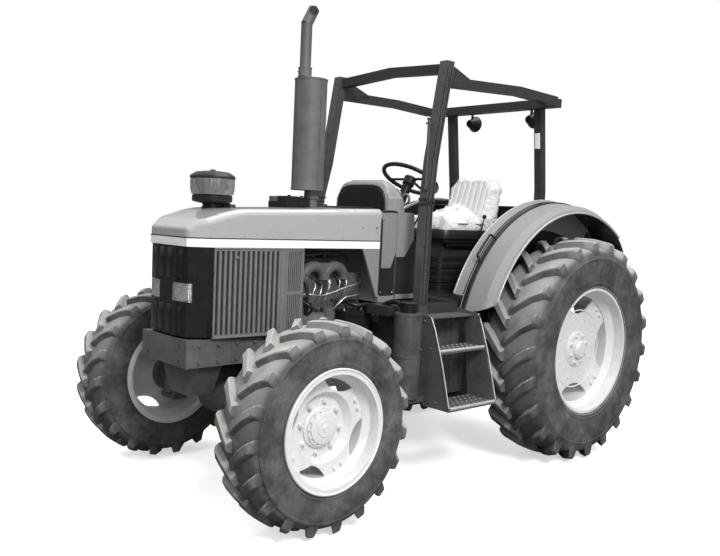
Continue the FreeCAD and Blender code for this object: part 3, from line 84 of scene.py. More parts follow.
def span(node):
    """Lowest and highest corner of a CAD node as arrays."""
    low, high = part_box(node)
    return np.array(low), np.array(high)


def middle(node):
    """The middle of a CAD node's box."""
    low, high = span(node)
    return (low + high) / 2


AXLE, _, FRONT_HUB_Z = middle("front_rim_left")
REAR, _, REAR_HUB_Z = middle("rear_rim_left")


def at(*place):
    """A point, or rows of points, given from the front axle, the middle plane and the ground, in metres."""
    return np.array(place, float) + (AXLE, 0, 0)


# ---- surfaces: a grid of points, or a profile carried along a path ----
def grid_faces(rows, cols, wrap_rows=False, wrap_cols=False):
    """Quads between neighbours of a grid whose point (i, j) has the number i * cols + j."""
    i, j = np.meshgrid(np.arange(rows if wrap_rows else rows - 1), np.arange(cols if wrap_cols else cols - 1),
                       indexing="ij")
    a, b = i * cols + j, ((i + 1) % rows) * cols + j
    c, d = ((i + 1) % rows) * cols + (j + 1) % cols, i * cols + (j + 1) % cols
    return np.stack([a, b, c, d], -1).reshape(-1, 4)


MERGED, SHORTEST = 2e-5, 1e-6  # points closer than the first become one; edges shorter than the second go


class Form:
    """The points and quads of one piece, gathered from several surfaces."""

    def __init__(self):
        self.points, self.quads, self.count = [], [], 0

    def add(self, points, quads):
        """Points, and quads that count from the first of them."""
        points = np.asarray(points, float).reshape(-1, 3)
        self.points.append(points)
        self.quads.append(np.asarray(quads, int) + self.count)
        self.count += len(points)
        return self

    def grid(self, points, wrap_rows=False, wrap_cols=False):
        """A surface from an array of points by row and column."""
        points = np.asarray(points, float)
        return self.add(points, grid_faces(points.shape[0], points.shape[1], wrap_rows, wrap_cols))

    def copies(self, points, moves):
        """A grid closed across its columns, repeated at each 4 x 4 matrix of moves."""
        quads = grid_faces(points.shape[0], points.shape[1], wrap_cols=True)
        points = points.reshape(-1, 3)
        many = np.einsum("kij,nj->kni", moves[:, :3, :3], points) + moves[:, None, :3, 3]
        return self.add(many, (quads[None] + (np.arange(len(moves)) * len(points))[:, None, None]).reshape(-1, 4))

    def piece(self, name, body, slot, smooth=35, bevel=0.0):
        """The mesh of all surfaces as an object that rides on body, facing outwards."""
        mesh = bpy.data.meshes.new(name)
        points, quads = np.concatenate(self.points), np.concatenate(self.quads)
        mesh.vertices.add(len(points))
        mesh.vertices.foreach_set("co", points.ravel())
        mesh.loops.add(quads.size)
        mesh.loops.foreach_set("vertex_index", quads.ravel())
        mesh.polygons.add(len(quads))
        mesh.polygons.foreach_set("loop_start", np.arange(0, quads.size, 4))
        mesh.update(calc_edges=True)
        work = bmesh.new()
        work.from_mesh(mesh)
        bmesh.ops.remove_doubles(work, verts=work.verts, dist=MERGED)
        bmesh.ops.dissolve_degenerate(work, edges=work.edges, dist=SHORTEST)
        bmesh.ops.recalc_face_normals(work, faces=work.faces)
        work.to_mesh(mesh)
        work.free()
        mesh.validate()
        obj = bpy.data.objects.new(name, mesh)
        bpy.context.scene.collection.objects.link(obj)
        mesh.polygons.foreach_set("use_smooth", np.ones(len(mesh.polygons), bool))
        mesh.set_sharp_from_angle(angle=math.radians(smooth))
        mesh.materials.append(finish(slot))
        if bevel:
            edge = obj.modifiers.new("edges", "BEVEL")
            edge.width, edge.segments, edge.limit_method, edge.angle_limit = bevel, 2, "ANGLE", math.radians(40)
            edge.harden_normals = True
        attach(obj, body)
        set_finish(obj, slot)
        return obj


def turned(profile, centre, axis="z", parts=48):
    """profile[k] = (radius, height): point = centre + radius * (cos t, sin t) across the axis + height along it."""
    profile = np.asarray(profile, float)
    t = np.radians(np.arange(parts) * 360 / parts)
    r, h = profile[:, 0][:, None], profile[:, 1][:, None]
    a, b, c = r * np.cos(t), r * np.sin(t), h + 0 * t
    order = {"x": (c, a, b), "y": (b, c, a), "z": (a, b, c)}[axis]
    return np.stack(order, -1) + np.asarray(centre)


def lathe(form, profile, centre, axis="z", parts=48):
    """A turned body closed by poles: its profile starts and ends on the axis."""
    profile = [(0, profile[0][1]), *profile, (0, profile[-1][1])]
    return form.grid(turned(profile, centre, axis, parts), wrap_cols=True)


def ring(form, profile, centre, axis="z", parts=64):
    """A turned ring: its profile is a closed loop."""
    return form.grid(turned(profile, centre, axis, parts), wrap_rows=True, wrap_cols=True)


def band(form, places, inner, outer, half, slope, centre, parts):
    """Bands round an upright axis, one at each height: flat to half the width less slope, then sloped inwards."""
    for z in places:
        ring(form, [(inner, z - half), (outer, z - half + slope), (outer, z + half - slope), (inner, z + half)],
             centre, "z", parts)


def smooth_path(points, steps=8):
    """Catmull-Rom curve: between two points it is the cubic whose slopes follow their neighbours."""
    p = np.asarray(points, float)
    p = np.concatenate([[2 * p[0] - p[1]], p, [2 * p[-1] - p[-2]]])
    t = np.linspace(0, 1, steps, endpoint=False)[None, :, None]
    a, b, c, d = (p[k:len(p) - 3 + k][:, None] for k in range(4))
    curve = 0.5 * (2 * b + (c - a) * t + (2 * a - 5 * b + 4 * c - d) * t ** 2 + (3 * b - a - 3 * c + d) * t ** 3)
    return np.concatenate([curve.reshape(-1, p.shape[1]), [p[-2]]])


def carried(form, path, section, up=(0, 0, 1)):
    """section (u, v) carried along path: point = path + u * side + v * top, both square to the path; capped."""
    path, section = np.asarray(path, float), np.asarray(section, float)
    ahead = np.gradient(path, axis=0)
    ahead /= np.linalg.norm(ahead, axis=1)[:, None]
    side = np.cross(ahead, np.asarray(up, float))
    side /= np.linalg.norm(side, axis=1)[:, None]
    top = np.cross(side, ahead)
    rows = path[:, None] + (section[None, :, :1] * side[:, None] + section[None, :, 1:] * top[:, None])
    ends = [np.repeat(path[:1, None], len(section), 1), rows, np.repeat(path[-1:, None], len(section), 1)]
    return form.grid(np.concatenate(ends), wrap_cols=True)


def circle(radius, parts=12):
    """(radius cos t, radius sin t) for t once round."""
    t = np.arange(parts) * 2 * math.pi / parts
    return np.stack([radius * np.cos(t), radius * np.sin(t)], -1)


def round_rect(wide, high, radius, parts=4):
    """A rectangle whose corners are quarter circles."""
    quarter, step = np.divmod(np.arange(4 * parts), parts)
    t = quarter * math.pi / 2 + step * math.pi / 2 / (parts - 1)
    sx, sy = np.array([1, -1, -1, 1])[quarter], np.array([1, 1, -1, -1])[quarter]
    return np.stack([sx * (wide / 2 - radius) + radius * np.cos(t), sy * (high / 2 - radius) + radius * np.sin(t)], -1)


def tube(form, points, radius, parts=12, up=(0, 0, 1)):
    """A round bar along a smooth curve through points."""
    return carried(form, smooth_path(points), circle(radius, parts), up=up)


CUBE_CORNERS = np.array([[i, j, k] for i in (0, 1) for j in (0, 1) for k in (0, 1)])
CUBE_FACES = np.array([[0, 1, 3, 2], [4, 6, 7, 5], [0, 4, 5, 1], [2, 3, 7, 6], [0, 2, 6, 4], [1, 5, 7, 3]])


def block(form, first, second):
    """The eight corners between two opposite ones, given in any order."""
    low, high = np.minimum(first, second), np.maximum(first, second)
    return form.add(low + (high - low) * CUBE_CORNERS, CUBE_FACES)


def plate(form, outline, y, thick):
    """A flat panel: its outline of (x, z) from the front axle stands at y and is given a thickness along y."""
    x, z = np.array(outline, float).T
    rows = [np.stack([AXLE + x, 0 * x + y + depth, z], -1) for depth in (0, thick)]
    caps = [np.repeat(r.mean(0)[None], len(x), 0) for r in rows]
    return form.grid(np.stack([caps[0], rows[0], rows[1], caps[1]]), wrap_cols=True)


def sheet(form, over, under):
    """A thin sheet closed all round: its upper surface, its lower one and the edges between them."""
    form.grid(np.concatenate([over, under[::-1]]), wrap_rows=True)
    for k in (0, -1):
        form.grid(np.stack([over[:, k], under[:, k]]))
    return form


def shifts(places):
    """A 4 x 4 matrix that moves to each place."""
    moves = np.repeat(np.eye(4)[None], len(places), 0)
    moves[:, :3, 3] = places
    return moves


def bolts(form, places, axis, radius, high, sides=6):
    """Bolt heads: a short prism with a chamfered top on each place, standing along axis."""
    profile = [(0, 0), (radius, 0), (radius, high * 0.75), (radius * 0.86, high), (0, high)]
    flip = -1 if axis[0] == "-" else 1
    base = turned([(r, flip * h) for r, h in profile], (0, 0, 0), axis[-1], sides)
    return form.copies(base, shifts(places))


def around(centre, radius, count, start=0.0, axis="y"):
    """count places on a circle about centre."""
    t = math.radians(start) + np.arange(count) * 2 * math.pi / count
    a, b, c = radius * np.cos(t), radius * np.sin(t), 0 * t
    order = {"x": (c, a, b), "y": (a, c, b), "z": (a, b, c)}[axis]
    return np.stack(order, -1) + np.asarray(centre)


# ---- finishes ----
class Tree:
    """Makes and links the nodes of one material or group."""

    def __init__(self, tree):
        self.tree, self.place = tree, 0

    def node(self, kind, **values):
        """A new node of that kind with its settings, to the right of the last one."""
        made = self.tree.nodes.new(kind)
        made.location = (self.place, 0)
        self.place += 190
        for key, value in values.items():
            setattr(made, key, value)
        return made

    def feed(self, socket, value):
        """Links a socket from another one, or sets its constant."""
        if isinstance(value, bpy.types.NodeSocket):
            self.tree.links.new(value, socket)
        else:
            socket.default_value = value

    def filled(self, kind, values, **settings):
        """A node with its inputs fed from a dictionary; an input's key is its name or number."""
        made = self.node(kind, **settings)
        for key, value in values.items():
            self.feed(made.inputs[key], value)
        return made

    def maths(self, operation, first, second=0.0):
        """One operation on two numbers or sockets."""
        return self.filled("ShaderNodeMath", {0: first, 1: second}, operation=operation).outputs[0]

    def noise(self, scale, detail, rough=0.55, vector=None):
        """Fractal noise at the place on the object, or at vector."""
        values = {"Detail": detail, "Roughness": rough, "Scale": scale, "Vector": vector or self.where()}
        return self.filled("ShaderNodeTexNoise", values).outputs["Fac"]

    def where(self):
        """The place on the object."""
        return self.node("ShaderNodeTexCoord").outputs["Object"]

    def split(self, vector):
        """The X, Y and Z of a vector."""
        return self.filled("ShaderNodeSeparateXYZ", {0: vector}).outputs

    def stretched(self, scale):
        """The place on the object, stretched by scale."""
        return self.filled("ShaderNodeMapping", {"Scale": scale, "Vector": self.where()}).outputs[0]

    def ranged(self, value, low, high, out_low=0.0, out_high=1.0):
        """A value stretched from one range to another and held inside it."""
        values = {"Value": value, "From Min": low, "From Max": high, "To Min": out_low, "To Max": out_high}
        return self.filled("ShaderNodeMapRange", values).outputs["Result"]

    def mix(self, amount, first, second):
        """The first colour where the amount is nothing and the second where it is one."""
        values = {"Factor": amount, "A": first, "B": second}
        return self.filled("ShaderNodeMix", values, data_type="RGBA").outputs["Result"]


def effect(name, inputs, outputs, build):
    """A shader node group made once; a default of four numbers makes a colour, a single number a value."""
    group = bpy.data.node_groups.get(name)
    if group:
        return group
    group = bpy.data.node_groups.new(name, "ShaderNodeTree")
    for label, default in inputs.items():
        kind = "NodeSocketColor" if isinstance(default, tuple) else "NodeSocketFloat"
        group.interface.new_socket(label, in_out="INPUT", socket_type=kind).default_value = default
    for label in outputs:
        kind = "NodeSocketColor" if label == "Color" else "NodeSocketFloat"
        group.interface.new_socket(label, in_out="OUTPUT", socket_type=kind)
    tree = Tree(group)
    build(tree, tree.node("NodeGroupInput").outputs, tree.node("NodeGroupOutput").inputs)
    return group


def dust(tree, given, out):
    """Dust lies where a coarse and a fine noise are both high, more below the given height; faces that look up also
    take the dust colour as a painted highlight, as much as the top light share asks.
    """
    low = tree.ranged(tree.split(tree.where())["Z"], 0.0, given["Height"], 1.0, 0.25)
    patch = tree.ranged(tree.noise(given["Scale"], 6.0, 0.65), 0.38, 0.72)
    fine = tree.ranged(tree.noise(90.0, 3.0), 0.3, 0.8, 0.55, 1.0)
    facing = tree.split(tree.node("ShaderNodeNewGeometry").outputs["Normal"])["Z"]
    # painted light: faces that look up take the dust colour as a highlight, scaled by the top light share
    painted_top_light = tree.maths("MULTIPLY", tree.ranged(facing, -0.1, 0.7), given["Upward"])
    loose = tree.maths("MULTIPLY", tree.maths("MULTIPLY", patch, fine), tree.maths("MULTIPLY", low, given["Amount"]))
    clods_and_top_light = tree.maths("ADD", painted_top_light, tree.ranged(patch, 0.0, 0.7, 0.12, 0.4))
    # on a tyre's outer part the dust colour lies thick: caked dust on the tread and painted light on the bars' faces
    thick = tree.maths("MULTIPLY", given["Caked"], clods_and_top_light)
    mask = tree.maths("MAXIMUM", loose, tree.maths("MAXIMUM", thick, tree.maths("MULTIPLY", painted_top_light, 0.12)))
    tree.feed(out["Color"], tree.mix(mask, given["Color"], given["Dust Color"]))
    tree.feed(out["Mask"], mask)


def wear(tree, given, out):
    """Scuffs show the bare colour where a stretched noise passes a threshold set by the amount."""
    rough = tree.noise(12.0, 9.0, 0.72, tree.stretched((1.0, 1.0, 4.0)))
    edge = tree.maths("SUBTRACT", 0.80, tree.maths("MULTIPLY", given["Amount"], 0.2))
    mask = tree.ranged(rough, edge, tree.maths("ADD", edge, 0.035))
    tree.feed(out["Color"], tree.mix(mask, given["Color"], given["Bare Color"]))


def grain(tree, given, out):
    """Height is a fine noise and a coarser one added; tone is a slow change between dark and light."""
    fine, coarse = tree.noise(given["Scale"], 2.0), tree.noise(tree.maths("MULTIPLY", given["Scale"], 0.13), 5.0)
    tree.feed(out["Height"], tree.maths("ADD", fine, coarse))
    tree.feed(out["Tone"], tree.ranged(coarse, 0.3, 0.7))


WHITE = (1.0, 1.0, 1.0, 1.0)
BARE_STEEL, DRY_DUST = (0.3, 0.3, 0.3, 1.0), (0.34, 0.33, 0.31, 1.0)
BARE_PRIMER = (0.12, 0.12, 0.12, 1.0)
BUMP_DEPTH, CLEAR_COAT_ROUGH = 0.002, 0.08
GLOSS_SPREAD, DUST_ROUGH = 0.05, 0.35  # how far roughness wanders with the tone, and what dust adds to it
CAKE_AND_LIGHT_FROM, CAKE_AND_LIGHT_FULL, CAKED_AND_LIT = 0.86, 0.93, 0.62  # shares of a tyre's radius between which dust cakes on the tread and painted light falls on the bars' faces, and how much


def look(name, colour, rough, shade=1.0, metallic=0.0, coat=0.0, dusty=0.15, scuffed=0.1, scale=220.0, bump=0.05,
         shift=0.12, bare=BARE_STEEL, dust_and_light_colour=DRY_DUST, patch=5.0, height=1.6, upward=0.0, shine=0.5,
         tread=None, relief=None):
    """A finish: colour with slow tone changes, scuffs, dust and, where asked, painted highlights over a grained,
    unevenly glossy surface.

    colour is three numbers, one grey or the name of one of the scene's colours, and shade multiplies it: a shade below
    one makes a darker copy of a finish as painted shade, above one a lighter copy as painted light. tread is a place
    (x, z) and a radius: past nine tenths of it dust is caked on and the bars' faces get painted light. A top light
    share paints the dust colour as light on faces that look up. relief adds to the grain's height.
    """
    if isinstance(colour, str):
        colour = getattr(bpy.context.scene.tractor_colours, colour)
    colour = [shade * c for c in (colour if hasattr(colour, "__len__") else (colour,) * 3)]
    made = bpy.data.materials.new(f"{name}_finish")
    made.use_nodes = True
    made.node_tree.nodes.clear()
    tree = Tree(made.node_tree)
    grained = tree.filled("ShaderNodeGroup", {"Scale": scale},
                          node_tree=effect("Grain", {"Scale": 200.0}, ("Height", "Tone"), grain)).outputs
    dark, light = (tuple(min(1.0, c * (1 + turn)) for c in colour) + (1.0,) for turn in (-shift, shift))
    worn = tree.filled("ShaderNodeGroup", {"Color": tree.mix(grained["Tone"], dark, light), "Amount": scuffed,
                                           "Bare Color": bare},
                       node_tree=effect("Wear", {"Color": WHITE, "Bare Color": BARE_STEEL, "Amount": 0.1},
                                        ("Color",), wear)).outputs
    # the Dust group lays dust and, where asked, the dust colour as painted light on faces that look up and on a tyre's
    # bars
    dusted_and_lit = tree.filled("ShaderNodeGroup", {"Color": worn["Color"], "Amount": dusty, "Scale": patch, "Height": height,
                                             "Dust Color": dust_and_light_colour, "Upward": upward},
                         node_tree=effect("Dust", {"Color": WHITE, "Dust Color": DRY_DUST, "Amount": 0.2, "Scale": 5.0,
                                                   "Height": 1.6, "Upward": 0.0, "Caked": 0.0},
                                          ("Color", "Mask"), dust))
    # a tyre's outer part, from its hub out: caked dust on the tread and painted light on the bars' faces
    if tread:
        x, z, radius = tread
        place = tree.split(tree.where())
        across = tree.maths("POWER", tree.maths("SUBTRACT", place["X"], x), 2.0)
        up = tree.maths("POWER", tree.maths("SUBTRACT", place["Z"], z), 2.0)
        far = tree.maths("SQRT", tree.maths("ADD", across, up))
        tree.feed(dusted_and_lit.inputs["Caked"], tree.ranged(far, radius * CAKE_AND_LIGHT_FROM, radius * CAKE_AND_LIGHT_FULL, 0.0, CAKED_AND_LIT))
    height_out = tree.maths("ADD", grained["Height"], relief(tree)) if relief else grained["Height"]
    bumps = tree.filled("ShaderNodeBump", {"Strength": bump, "Distance": BUMP_DEPTH, "Height": height_out})
    wander = tree.ranged(grained["Tone"], 0.0, 1.0, rough - GLOSS_SPREAD, rough + GLOSS_SPREAD)
    gloss = tree.maths("ADD", wander, tree.maths("MULTIPLY", dusted_and_lit.outputs["Mask"], DUST_ROUGH))
    shader = tree.filled("ShaderNodeBsdfPrincipled", {
        "Base Color": dusted_and_lit.outputs["Color"], "Roughness": gloss, "Metallic": metallic, "Coat Weight": coat,
        "Specular IOR Level": shine, "Coat Roughness": CLEAR_COAT_ROUGH, "Normal": bumps.outputs["Normal"]})
    tree.filled("ShaderNodeOutputMaterial", {"Surface": shader.outputs[0]})
    return made


FLUTE_PITCH, FLUTE_DEPTH = 0.012, 1.2
THREADS = 2600.0  # radians of weave per metre


def lamp_flutes(tree):
    """Parallel upright ridges: a sine of the place across the tractor."""
    wave = tree.maths("SINE", tree.maths("MULTIPLY", tree.split(tree.where())["Y"], 2 * math.pi / FLUTE_PITCH))
    return tree.maths("MULTIPLY", wave, FLUTE_DEPTH)


def weave(tree):
    """The cover cloth: fine crossed threads, a sine each way, with long soft wrinkles over them."""
    place = tree.split(tree.where())
    across = tree.maths("SINE", tree.maths("MULTIPLY", place["Y"], THREADS))
    down = tree.maths("SINE", tree.maths("MULTIPLY", tree.maths("ADD", place["Z"], place["X"]), THREADS))
    threads = tree.maths("MULTIPLY", tree.maths("MULTIPLY", across, down), 0.25)
    creases = tree.filled("ShaderNodeTexNoise", {"Vector": tree.stretched((1.0, 2.6, 1.0))})
    creases.noise_type = "RIDGED_MULTIFRACTAL"
    creases.inputs["Scale"].default_value, creases.inputs["Detail"].default_value = 9.0, 3.0
    return tree.maths("ADD", threads, tree.maths("MULTIPLY", creases.outputs["Fac"], 3.0))


# rubber takes the full painted highlight on faces that look up; its dust colour serves both dust and painted light
RUBBER = dict(dusty=0.4, scuffed=0.35, scale=260.0, bump=0.35, shift=0.3, shine=0.25, bare=(0.17, 0.167, 0.16, 1.0),
              dust_and_light_colour=(0.42, 0.41, 0.395, 1.0), patch=6.0, height=4.5, upward=1.0)
# Each finish by name: its colour, its roughness and what differs from a plain painted surface.
LOOKS = {
    # painted shade: the fenders and cowl are body paint, darkened here to 0.58 of it
    "fender_paint": ("body", 0.55, dict(shade=0.58, dusty=0.25, scuffed=0.08, bump=0.02, shift=0.05, patch=3.0,
                                        height=3.0)),
    "body_paint": ("body", 0.3, dict(coat=0.8, dusty=0.05, scuffed=0.0, bump=0.004, shift=0.02, scale=120.0,
                                     patch=1.6)),
    "band_paint": ("band", 0.3, dict(coat=0.5, dusty=0.06, scuffed=0.02, bump=0.004, shift=0.02)),
    "dark_paint": ("roll_frame", 0.34, dict(shine=0.45, dusty=0.12, scuffed=0.2, bare=BARE_PRIMER)),
    # painted light: the front posts are frame paint, made 1.7 times lighter and shinier here
    "post_paint": ("roll_frame", 0.3, dict(shade=1.7, shine=0.7, dusty=0.14, scuffed=0.05, bare=BARE_PRIMER)),
    "chassis_paint": ("chassis", 0.5, dict(shine=0.3, dusty=0.35, scuffed=0.3, scale=130.0, bump=0.3, patch=9.0)),
    "wheel_paint": ("wheels", 0.34, dict(coat=0.35, dusty=0.3, scuffed=0.2, bump=0.01, shift=0.05, patch=7.0,
                                         dust_and_light_colour=(0.36, 0.35, 0.33, 1.0), bare=(0.25, 0.24, 0.23, 1.0))),
    "tyre": ("rubber", 0.62, dict(RUBBER, tread=(0.0, 9.0, 9.0))),
    "front_tyre": ("rubber", 0.62, dict(RUBBER, tread=(AXLE, FRONT_HUB_Z, FRONT_HUB_Z))),
    "rear_tyre": ("rubber", 0.62, dict(RUBBER, tread=(REAR, REAR_HUB_Z, REAR_HUB_Z))),
    "grille_metal": ("grille", 0.45, dict(shine=0.35, dusty=0.2, bump=0.03)),
    "nose_plastic": ("nose", 0.24, dict(dusty=0.03, scuffed=0.01, scale=160.0, bump=0.008, shine=0.35)),
    "bright_steel": (0.62, 0.28, dict(metallic=1.0, dusty=0.2, scuffed=0.2, scale=500.0, bump=0.08)),
    "soft_cover": ("cover", 0.55, dict(coat=0.05, dusty=0.12, scuffed=0.04, scale=160.0, bump=0.42, shift=0.05,
                                       relief=weave)),
    "dash_plastic": ("dash", 0.45, dict(dusty=0.2, scuffed=0.05, scale=600.0, bump=0.12)),
    "black_plastic": ((0.012, 0.012, 0.0125), 0.35, dict(shine=0.3, dusty=0.08, scuffed=0.08, scale=500.0, bump=0.08)),
    "tank_plastic": ((0.04, 0.04, 0.041), 0.42, dict(shine=0.35, dusty=0.5, scuffed=0.2, scale=320.0, bump=0.15)),
    "lamp_glass": ((0.72, 0.73, 0.74), 0.1, dict(metallic=0.85, coat=1.0, dusty=0.1, scuffed=0.02, bump=0.7,
                                                 shift=0.35, shine=0.8, relief=lamp_flutes)),
    "muffler_paint": ("exhaust", 0.55, dict(dusty=0.4, scuffed=0.45, scale=90.0, bump=0.1, patch=4.0, height=6.0,
                                            bare=(0.32, 0.31, 0.3, 1.0))),
    # near black: painted shade in the grilles' grooves, on the treads' pierced spots and in the tail pipe, and the dark
    # joint under the hood
    "dark_gap": (0.006, 0.8, dict(scuffed=0.0, bump=0.1)),
    "step_steel": (0.085, 0.42, dict(metallic=0.2, dusty=0.35, scuffed=0.4, bump=0.12)),
    "tread_steel": (0.15, 0.4, dict(metallic=0.4, dusty=0.2, scuffed=0.5, bump=0.12)),
    "rod_steel": (0.42, 0.4, dict(metallic=0.2, dusty=0.3, scuffed=0.3)),
    "seat_vinyl": ((0.016, 0.016, 0.017), 0.42, dict(coat=0.1, dusty=0.1, scuffed=0.05, scale=260.0, bump=0.3)),
    "clear_bowl": (0.5, 0.16, dict(coat=0.6, dusty=0.35, bump=0.3, shift=0.3, height=8.0, patch=12.0)),
    "floor": (0.9, 0.9, dict(dusty=0.0, scuffed=0.0, scale=30.0, bump=0.02, shift=0.01)),
}
# The record's slot of each finish that is a finer kind of it.
SLOT_OF = {"post_paint": "dark_paint", "front_tyre": "tyre", "rear_tyre": "tyre", "fender_paint": "body_paint",
           "tread_steel": "dark_paint", "rod_steel": "bright_steel", "seat_vinyl": "black_plastic",
           "muffler_paint": "dark_paint", "dark_gap": "black_plastic", "step_steel": "dark_paint",
           "clear_bowl": "lamp_glass"}


def see_through(tree, shader):
    """Smoky clear plastic."""
    tree.feed(shader.inputs["Transmission Weight"], 0.6)
    tree.feed(shader.inputs["Alpha"], 0.75)


def pale_floor(tree, shader):
    """A floor that is bright to the eye and throws little light back up at the tractor."""
    seen = tree.node("ShaderNodeLightPath").outputs["Is Camera Ray"]
    tree.feed(shader.inputs["Base Color"], tree.mix(seen, (0.16, 0.16, 0.16, 1.0), (0.95, 0.95, 0.95, 1.0)))
    tree.feed(shader.inputs["Emission Color"], WHITE)
    tree.feed(shader.inputs["Emission Strength"], tree.maths("MULTIPLY", seen, 0.55))


FINAL_TOUCH = {"clear_bowl": see_through, "floor": pale_floor}


def finish(name):
    """The finish of that name, made on first use."""
    made = bpy.data.materials.get(f"{name}_finish")
    if not made:
        colour, rough, values = LOOKS[name]
        made = look(name, colour, rough, **values)
        if name in FINAL_TOUCH:
            shader = next(n for n in made.node_tree.nodes if n.type == "BSDF_PRINCIPLED")
            FINAL_TOUCH[name](Tree(made.node_tree), shader)
    return made


def dress(form, name, body, look_name, **extra):
    """A piece in a look; its slot is the record's own where the look is a finer kind of it."""
    obj = form.piece(name, body, look_name, **extra)
    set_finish(obj, SLOT_OF.get(look_name, look_name))
    return obj


def trim(look_name, name, form, **extra):
    """A piece that belongs to the chassis."""
    return dress(form, name, "chassis", look_name, **extra)


# ---- tyres ----
def tyre_lug(side, tip, half, high, wide, lead, drop, low):
    """One bar of the tread, from the middle out: the place along it sets the width place y, the turn a and the height.

    y runs from the middle gap to the shoulder, a falls from the lead to nothing with a knee half way, the top follows
    the crown and then bends down the side wall, and the cross-section is a trapezium with rounded top edges.
    """
    s = np.array([0.0, 0.04, 0.2, 0.4, 0.56, 0.66, 0.8, 0.93, 1.0, 1.06, 1.16, 1.26])
    y = np.interp(s, [0, 1, 1.26], [0.006, half * 0.97, half * 1.04])
    a = np.interp(s, [0, 0.56, 1.0, 1.26], [lead, lead * 0.36, 0.0, -0.01 * lead])
    top = np.interp(s, [0, 0.5, 0.93, 1.0, 1.06, 1.26],
                    [tip, tip - drop * 0.06, tip - drop * 0.34, tip - drop * 0.62, tip - drop * 1.2, low])
    base = np.interp(s, [0, 0.6, 0.93, 1.06, 1.26],
                     [tip - high, tip - high - drop * 0.2, tip - high - drop, low + 0.03, low - 0.012])
    top[0], width = tip - 0.004, wide * np.interp(s, [0, 0.1, 0.6, 1.0, 1.26], [0.86, 0.9, 1.0, 1.12, 0.9])
    across = np.array([-0.82, -0.56, -0.42, 0.42, 0.56, 0.82])
    up = np.array([0.0, 0.9, 1.0, 1.0, 0.9, 0.0])
    r = base[:, None] + (top - base)[:, None] * up
    turn = a[:, None] + (width[:, None] * across) / tip
    points = np.stack([r * np.sin(turn), side * (y[:, None] + 0 * turn), r * np.cos(turn)], -1)
    ends = [np.repeat(points[k].mean(0)[None, None], len(across), 1) for k in (0, -1)]
    return np.concatenate([ends[0], points, ends[1]])


def make_tyre(end, side, lugs, drop, lug_high, wide, lead):
    """A carcass turned from its side wall profile, with a herringbone of bars on it."""
    node = f"{end}_tyre_{side}"
    low, high = span(node)
    rim_low, rim_high = span(f"{end}_rim_{side}")
    centre, tip, half = (low + high) / 2, (high - low)[2] / 2, (high - low)[1] / 2
    bead, base = (rim_high - rim_low)[2] / 2, tip - lug_high
    waist = (bead + tip) / 2
    wall = [(bead - 0.012, half * 0.9), (bead + 0.012, half * 0.93), (bead + 0.02, half * 0.955),
            (bead + 0.03, half * 0.95), (bead + 0.06, half * 0.985), (waist - 0.01, half),
            (waist + 0.018, half * 0.992), (waist + 0.022, half), (waist + 0.03, half), (waist + 0.036, half * 0.985),
            (base - drop * 1.25, half * 0.94), (base - drop * 0.6, half * 0.84), (base - drop * 0.22, half * 0.6),
            (base - drop * 0.03, half * 0.3)]
    outside = smooth_path([*wall, (base, 0), *[(r, -h) for r, h in reversed(wall)]], 3)
    form = Form()
    ring(form, [*outside, (bead - 0.022, -half * 0.86), (bead - 0.022, half * 0.86)], centre, "y", 88)
    for hand in (-1, 1):
        bar = tyre_lug(hand, tip, half * 0.93, lug_high, wide, lead / tip, drop, waist + 0.034)
        turn = (np.arange(lugs) + hand / 4) * 2 * math.pi / lugs + math.pi
        moves = shifts(np.repeat(centre[None], lugs, 0))
        moves[:, 0, 0] = moves[:, 2, 2] = np.cos(turn)
        moves[:, 0, 2], moves[:, 2, 0] = np.sin(turn), -np.sin(turn)
        form.copies(bar, moves)
    obj = dress(form, f"{end}_tread_{side}", f"{end}_wheel_{side}", f"{end}_tyre", smooth=32)
    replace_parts(obj, node)


# ---- wheels ----
# Per end: turned caps (profile, distance out from the disc, parts); rings of bolts (distance out, circle's radius,
# count, start angle, bolt's radius, height, sides); the valve's place (x, distance out, z).
WHEEL_CAPS = {
    "front": [([(0.112, 0), (0.112, 0.012), (0.1, 0.02), (0.098, 0.03)], 0, 56),
              ([(0.086, 0), (0.086, 0.012), (0.078, 0.016), (0.05, 0.018), (0.046, 0.024), (0.02, 0.025),
                (0.016, 0.03)], 0.03, 48)],
    "rear": [([(0.128, 0), (0.128, 0.006), (0.118, 0.012), (0.116, 0.016)], 0, 56),
             ([(0.062, 0), (0.062, 0.02), (0.052, 0.034), (0.03, 0.038)], 0.016, 40)],
}
WHEEL_BOLTS = {
    "front": [(0.03, 0.091, 14, 0, 0.0075, 0.009, 6), (0, 0.134, 8, 10, 0.014, 0.018, 6),
              (0, 0.134, 8, 10, 0.009, 0.028, 10), (0.044, 0.238, 4, 59, 0.012, 0.014, 6),
              (0.044, 0.238, 4, 71, 0.012, 0.014, 6)],
    "rear": [(0.006, 0.098, 8, 22, 0.0145, 0.018, 6), (0.024, 0.098, 8, 22, 0.009, 0.012, 10),
             (0, 0.21, 8, 22.5, 0.006, 0.008, 6), (0, 0.352, 4, 40, 0.014, 0.016, 6),
             (0, 0.352, 4, 50, 0.014, 0.016, 6)],
}
WHEEL_VALVE = {"front": (0.19, 0.03, -0.19), "rear": (0.36, 0, -0.1)}


